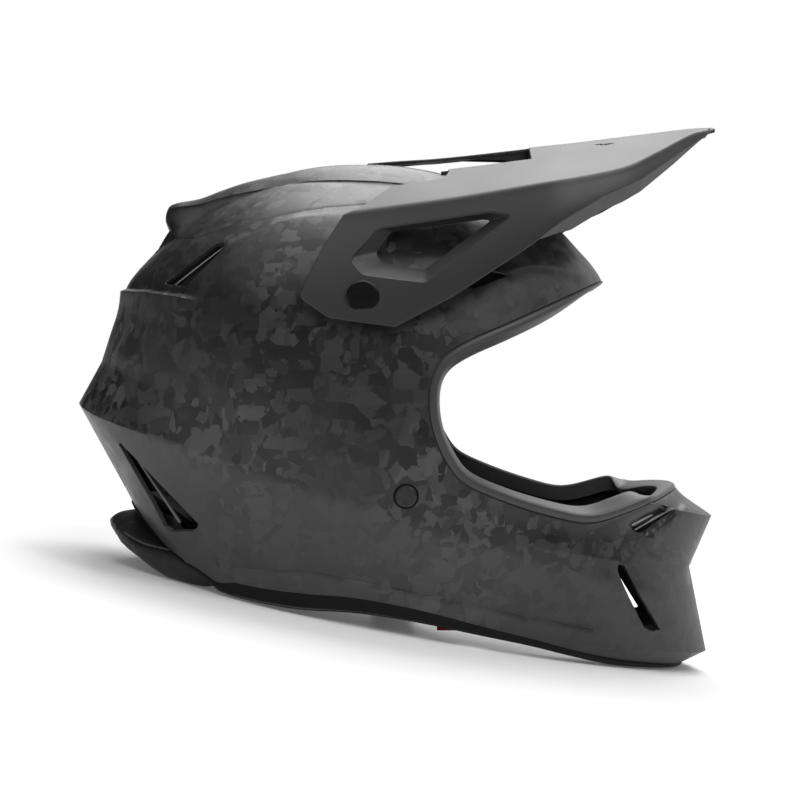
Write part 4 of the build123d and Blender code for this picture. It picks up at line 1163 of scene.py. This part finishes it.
def cushion(soft, voxel, drawn_in, cap, seam, finish):
    """Blow up a soft piece as a cushion: remesh it, draw it in, let cloth under pressure swell it, hold each
    point's movement to a cap, and press in the sewn channels that seam gives, all in millimetres."""
    remesh = soft.modifiers.new("even", "REMESH")
    remesh.mode, remesh.voxel_size = "VOXEL", voxel * MM
    soft.data = mesh = evaluated(soft)
    soft.modifiers.clear()
    normals = mesh_values(mesh.vertex_normals, "vector")
    start = mesh_values(mesh.vertices, "co") - normals * drawn_in * MM
    mesh.vertices.foreach_set("co", start.ravel())
    mesh.update()
    moved = swollen_places(soft) - start
    length = np.linalg.norm(moved, axis=1, keepdims=True)
    place = start + moved * np.minimum(1, cap * MM / np.maximum(length, 1e-9))
    place -= normals * (seam(as_worn(place)) * MM)[:, None]
    place[:, 2] = np.maximum(place[:, 2], 0.0)
    mesh.vertices.foreach_set("co", place.ravel())
    mesh.polygons.foreach_set("use_smooth", [True] * len(mesh.polygons))
    mesh.update()
    mesh.materials.clear()
    mesh.materials.append(finish)
    smooth = soft.modifiers.new("smooth", "SUBSURF")
    smooth.levels = smooth.render_levels = 1


def channel(distance, deep, wide):
    """Depth of a sewn channel at a distance from its line: a bell curve."""
    return deep * np.exp(-(distance / wide) ** 2)


def soft_copy(name, node):
    """A copy of a CAD solid's mesh with its loose triangles joined, to be made into a soft piece."""
    mesh = bpy.data.objects[node].data.copy()
    work = bmesh.new()
    work.from_mesh(mesh)
    bmesh.ops.remove_doubles(work, verts=work.verts, dist=1e-6)
    work.to_mesh(mesh)
    work.free()
    soft = bpy.data.objects.new(name, mesh)
    bpy.context.scene.collection.objects.link(soft)
    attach(soft, "helmet")
    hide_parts(node)
    return soft


def crown_seams(worn):
    """Channels of the liner: two pairs along it and three bands across it."""
    y = np.abs(worn[:, 1])
    deep = channel(y - 16, 1.0, 2.2) + channel(y - 50, 1.0, 2.2)
    for across in (88, 138, 190):
        deep = np.maximum(deep, channel(worn[:, 0] - across, 1.0, 2.2) * (y > 16))
    return deep


def cheek_seams(worn):
    """Channels of a cheek pad: a curve round its middle field and one line across it."""
    from_middle = np.hypot((worn[:, 0] - 180) / 1.05, worn[:, 2] - 96)
    return np.maximum(channel(from_middle - 33, 1.6, 2.4), channel(worn[:, 2] - 96, 1.2, 2.2) * (from_middle < 33))


def roll_seams(worn):
    """Cross stitching of the neck roll, a shallow channel every 16 degrees round the back."""
    turn = np.degrees(np.arctan2(worn[:, 1], 100 - worn[:, 0]))
    return channel(((turn + 8) % 16 - 8) * 0.9, 0.5, 1.4)


cushion(soft_copy("comfort_pad", "comfort_liner"), 3.0, 1.0, 1.4, crown_seams, lining)
for side_name in ("left", "right"):
    cheek_pad = soft_copy("cheek_cushion_" + side_name, "cheek_pad_" + side_name)
    cushion(cheek_pad, 4.0, 2.4, 4.0, cheek_seams, lining)
around = np.linspace(0, 2 * math.pi, 40, endpoint=False)
neck_pad = piece("neck_cushion", *closed_ends(roll_section(around)), collar, replaces="neck_roll")
cushion(neck_pad, 3.0, 0.5, 2.0, roll_seams, collar)
# A light cord along the roll's upper side: a painted highlight in the place of the highlight on the shell's lower
# edge.
highlight_cord_line = roll_section([HIGHLIGHT_CORD_TURN], grow=0.7)[0]
highlight_cords = [tube(highlight_cord_line[10:40], 0.6, 8), tube(highlight_cord_line[-40:-10], 0.6, 8)]
piece("neck_piping", *joined(highlight_cords), highlight_cord_cloth, slot="lining")
for name, node, finish, slot in (("strap_webbing_left", "chin_strap_left", webbing, "webbing"),
                                 ("strap_webbing_right", "chin_strap_right", webbing, "webbing"),
                                 ("release_tape", "cheek_release_tabs", red_tape, "red_tape")):
    tape = soft_copy(name, node)
    tape.data.materials.clear()
    tape.data.materials.append(finish)
    edge = tape.modifiers.new("woven_edge", "BEVEL")
    edge.width, edge.segments, edge.limit_method, edge.angle_limit = 0.5 * MM, 3, "ANGLE", math.radians(40)

# ---- Camera, light and stage ----
CAMERA_DISTANCE = 1400.0
CAMERA_LIFT = math.radians(1.8)
VIEW_CENTRE = (181.1, 0.0, 155.8)
VIEW_WIDTH = 455.4
FLOOR_LIFT = 0.08


def add_camera():
    """Camera on the near side, rolled with the stand tilt so that the helmet looks as worn."""
    camera = bpy.data.cameras.new("camera")
    camera.sensor_width = 36.0
    camera.lens = 36.0 * CAMERA_DISTANCE / VIEW_WIDTH
    camera.clip_start = 0.01
    obj = bpy.data.objects.new("camera", camera)
    centre = np.array(VIEW_CENTRE)
    eye = centre + CAMERA_DISTANCE * np.array([0, -math.cos(CAMERA_LIFT), math.sin(CAMERA_LIFT)])
    top = centre + np.array([0, 0, 100.0])
    eye, centre, top = stand(np.array([eye, centre, top]))
    back = eye - centre
    back /= np.linalg.norm(back)
    right = np.cross(top - centre, back)
    right /= np.linalg.norm(right)
    up = np.cross(back, right)
    matrix = np.eye(4)
    matrix[:3, 0], matrix[:3, 1], matrix[:3, 2], matrix[:3, 3] = right, up, back, eye
    obj.matrix_world = Matrix(matrix.tolist())
    bpy.context.scene.collection.objects.link(obj)
    bpy.context.scene.camera = obj


def seen_white(tree, lit, seen, output):
    """Give an output one shader for the light it sheds, and another where the camera, a reflection or a view
    through something looks at it, to show plain white there."""
    path = tree.nodes.new("ShaderNodeLightPath")
    total = None
    for name in ("Is Camera Ray", "Is Glossy Ray", "Is Transmission Ray"):
        if total is None:
            total = path.outputs[name]
            continue
        add = tree.nodes.new("ShaderNodeMath")
        add.operation, add.use_clamp = "ADD", True
        tree.links.new(total, add.inputs[0])
        tree.links.new(path.outputs[name], add.inputs[1])
        total = add.outputs[0]
    mix = tree.nodes.new("ShaderNodeMixShader")
    for number, source in enumerate((total, lit, seen)):
        tree.links.new(source, mix.inputs[number])
    tree.links.new(mix.outputs[0], tree.nodes[output].inputs["Surface"])


def add_floor():
    """A wide floor that curves up into a backdrop: shaded near the helmet, plain white further off."""
    finish = Finish("floor_white")
    finish.surface(Base_Color=(0.73, 0.73, 0.73, 1), Roughness=0.9, Specular_IOR_Level=0.0)
    tree = finish.tree
    place = finish.vector("MULTIPLY", finish.place(), (1, 1, 0))
    reach = finish.node("ShaderNodeVectorMath", {"operation": "LENGTH"}, [place], "Value").between(0.30, 0.85)
    fade, glow = tree.nodes.new("ShaderNodeMixShader"), tree.nodes.new("ShaderNodeEmission")
    lift, both = tree.nodes.new("ShaderNodeEmission"), tree.nodes.new("ShaderNodeAddShader")
    lift.inputs["Strength"].default_value = FLOOR_LIFT
    tree.links.new(finish.shader.outputs[0], both.inputs[0])
    tree.links.new(lift.outputs[0], both.inputs[1])
    tree.links.new(reach.socket, fade.inputs[0])
    tree.links.new(both.outputs[0], fade.inputs[1])
    tree.links.new(glow.outputs[0], fade.inputs[2])
    seen_white(tree, finish.shader.outputs[0], fade.outputs[0], "Material Output")
    across, along = np.meshgrid(np.linspace(-6, 6, 3), np.linspace(-4, 8, 49), indexing="ij")
    rise = np.where(along > 2.5, (along - 2.5) ** 2 * 0.35, 0)
    points = np.stack([across, along, rise - 0.0005], -1).reshape(-1, 3)
    faces = grid_quads(3, 49, False)
    floor = piece("floor", points, faces, finish.material, worn=False)


def add_card():
    """A dark card bent round the helmet, as a studio uses it: only reflections see it, so the sides stay
    deep. It is taller beyond the rear."""
    finish = Finish("card_black")
    finish.surface(Base_Color=(0.01, 0.01, 0.01, 1), Roughness=1.0, Specular_IOR_Level=0.0)
    turn, high = np.meshgrid(np.linspace(-152, 88, 61), np.linspace(0, 1, 5), indexing="ij")
    high = 0.06 + high * (1.06 + 0.95 * step_up(turn, -112, -130))
    turn, radius = np.radians(turn), 1.15
    points = np.stack([radius * np.sin(turn), -radius * np.cos(turn), high], -1).reshape(-1, 3)
    card = piece("dark_card", points, grid_quads(*turn.shape), finish.material, worn=False)
    for ray in ("camera", "diffuse", "shadow", "transmission", "volume_scatter"):
        setattr(card, "visible_" + ray, False)


def add_light(name, place, size, power, target=(0.0, 0.0, 0.15), mirrored=True):
    """A soft square lamp aimed at the helmet, seen in reflections or not."""
    lamp = bpy.data.lights.new(name, "AREA")
    lamp.shape, lamp.size, lamp.energy = "SQUARE", size, power
    obj = bpy.data.objects.new(name, lamp)
    obj.location = place
    obj.rotation_euler = (Vector(place) - Vector(target)).to_track_quat("Z", "Y").to_euler()
    obj.visible_glossy = mirrored
    bpy.context.scene.collection.objects.link(obj)


def add_world():
    """An even pale grey from all round, which looks plain white."""
    world = bpy.data.worlds.new("studio")
    bpy.context.scene.world = world
    world.use_nodes = True
    tree = world.node_tree
    fill, white = tree.nodes["Background"], tree.nodes.new("ShaderNodeBackground")
    fill.inputs["Color"].default_value = (0.42, 0.42, 0.43, 1)
    white.inputs["Color"].default_value = (1, 1, 1, 1)
    seen_white(tree, fill.outputs[0], white.outputs[0], "World Output")


add_camera()
add_floor()
add_card()
add_light("key_top", (-0.04, 0.92, 1.75), 1.55, 42)
add_light("key_front", (0.72, -0.75, 1.75), 0.7, 9)
add_light("fill_near", (0.4, -1.7, 1.3), 1.3, 20, mirrored=False)
add_world()
bpy.context.scene.view_settings.view_transform = "Standard"
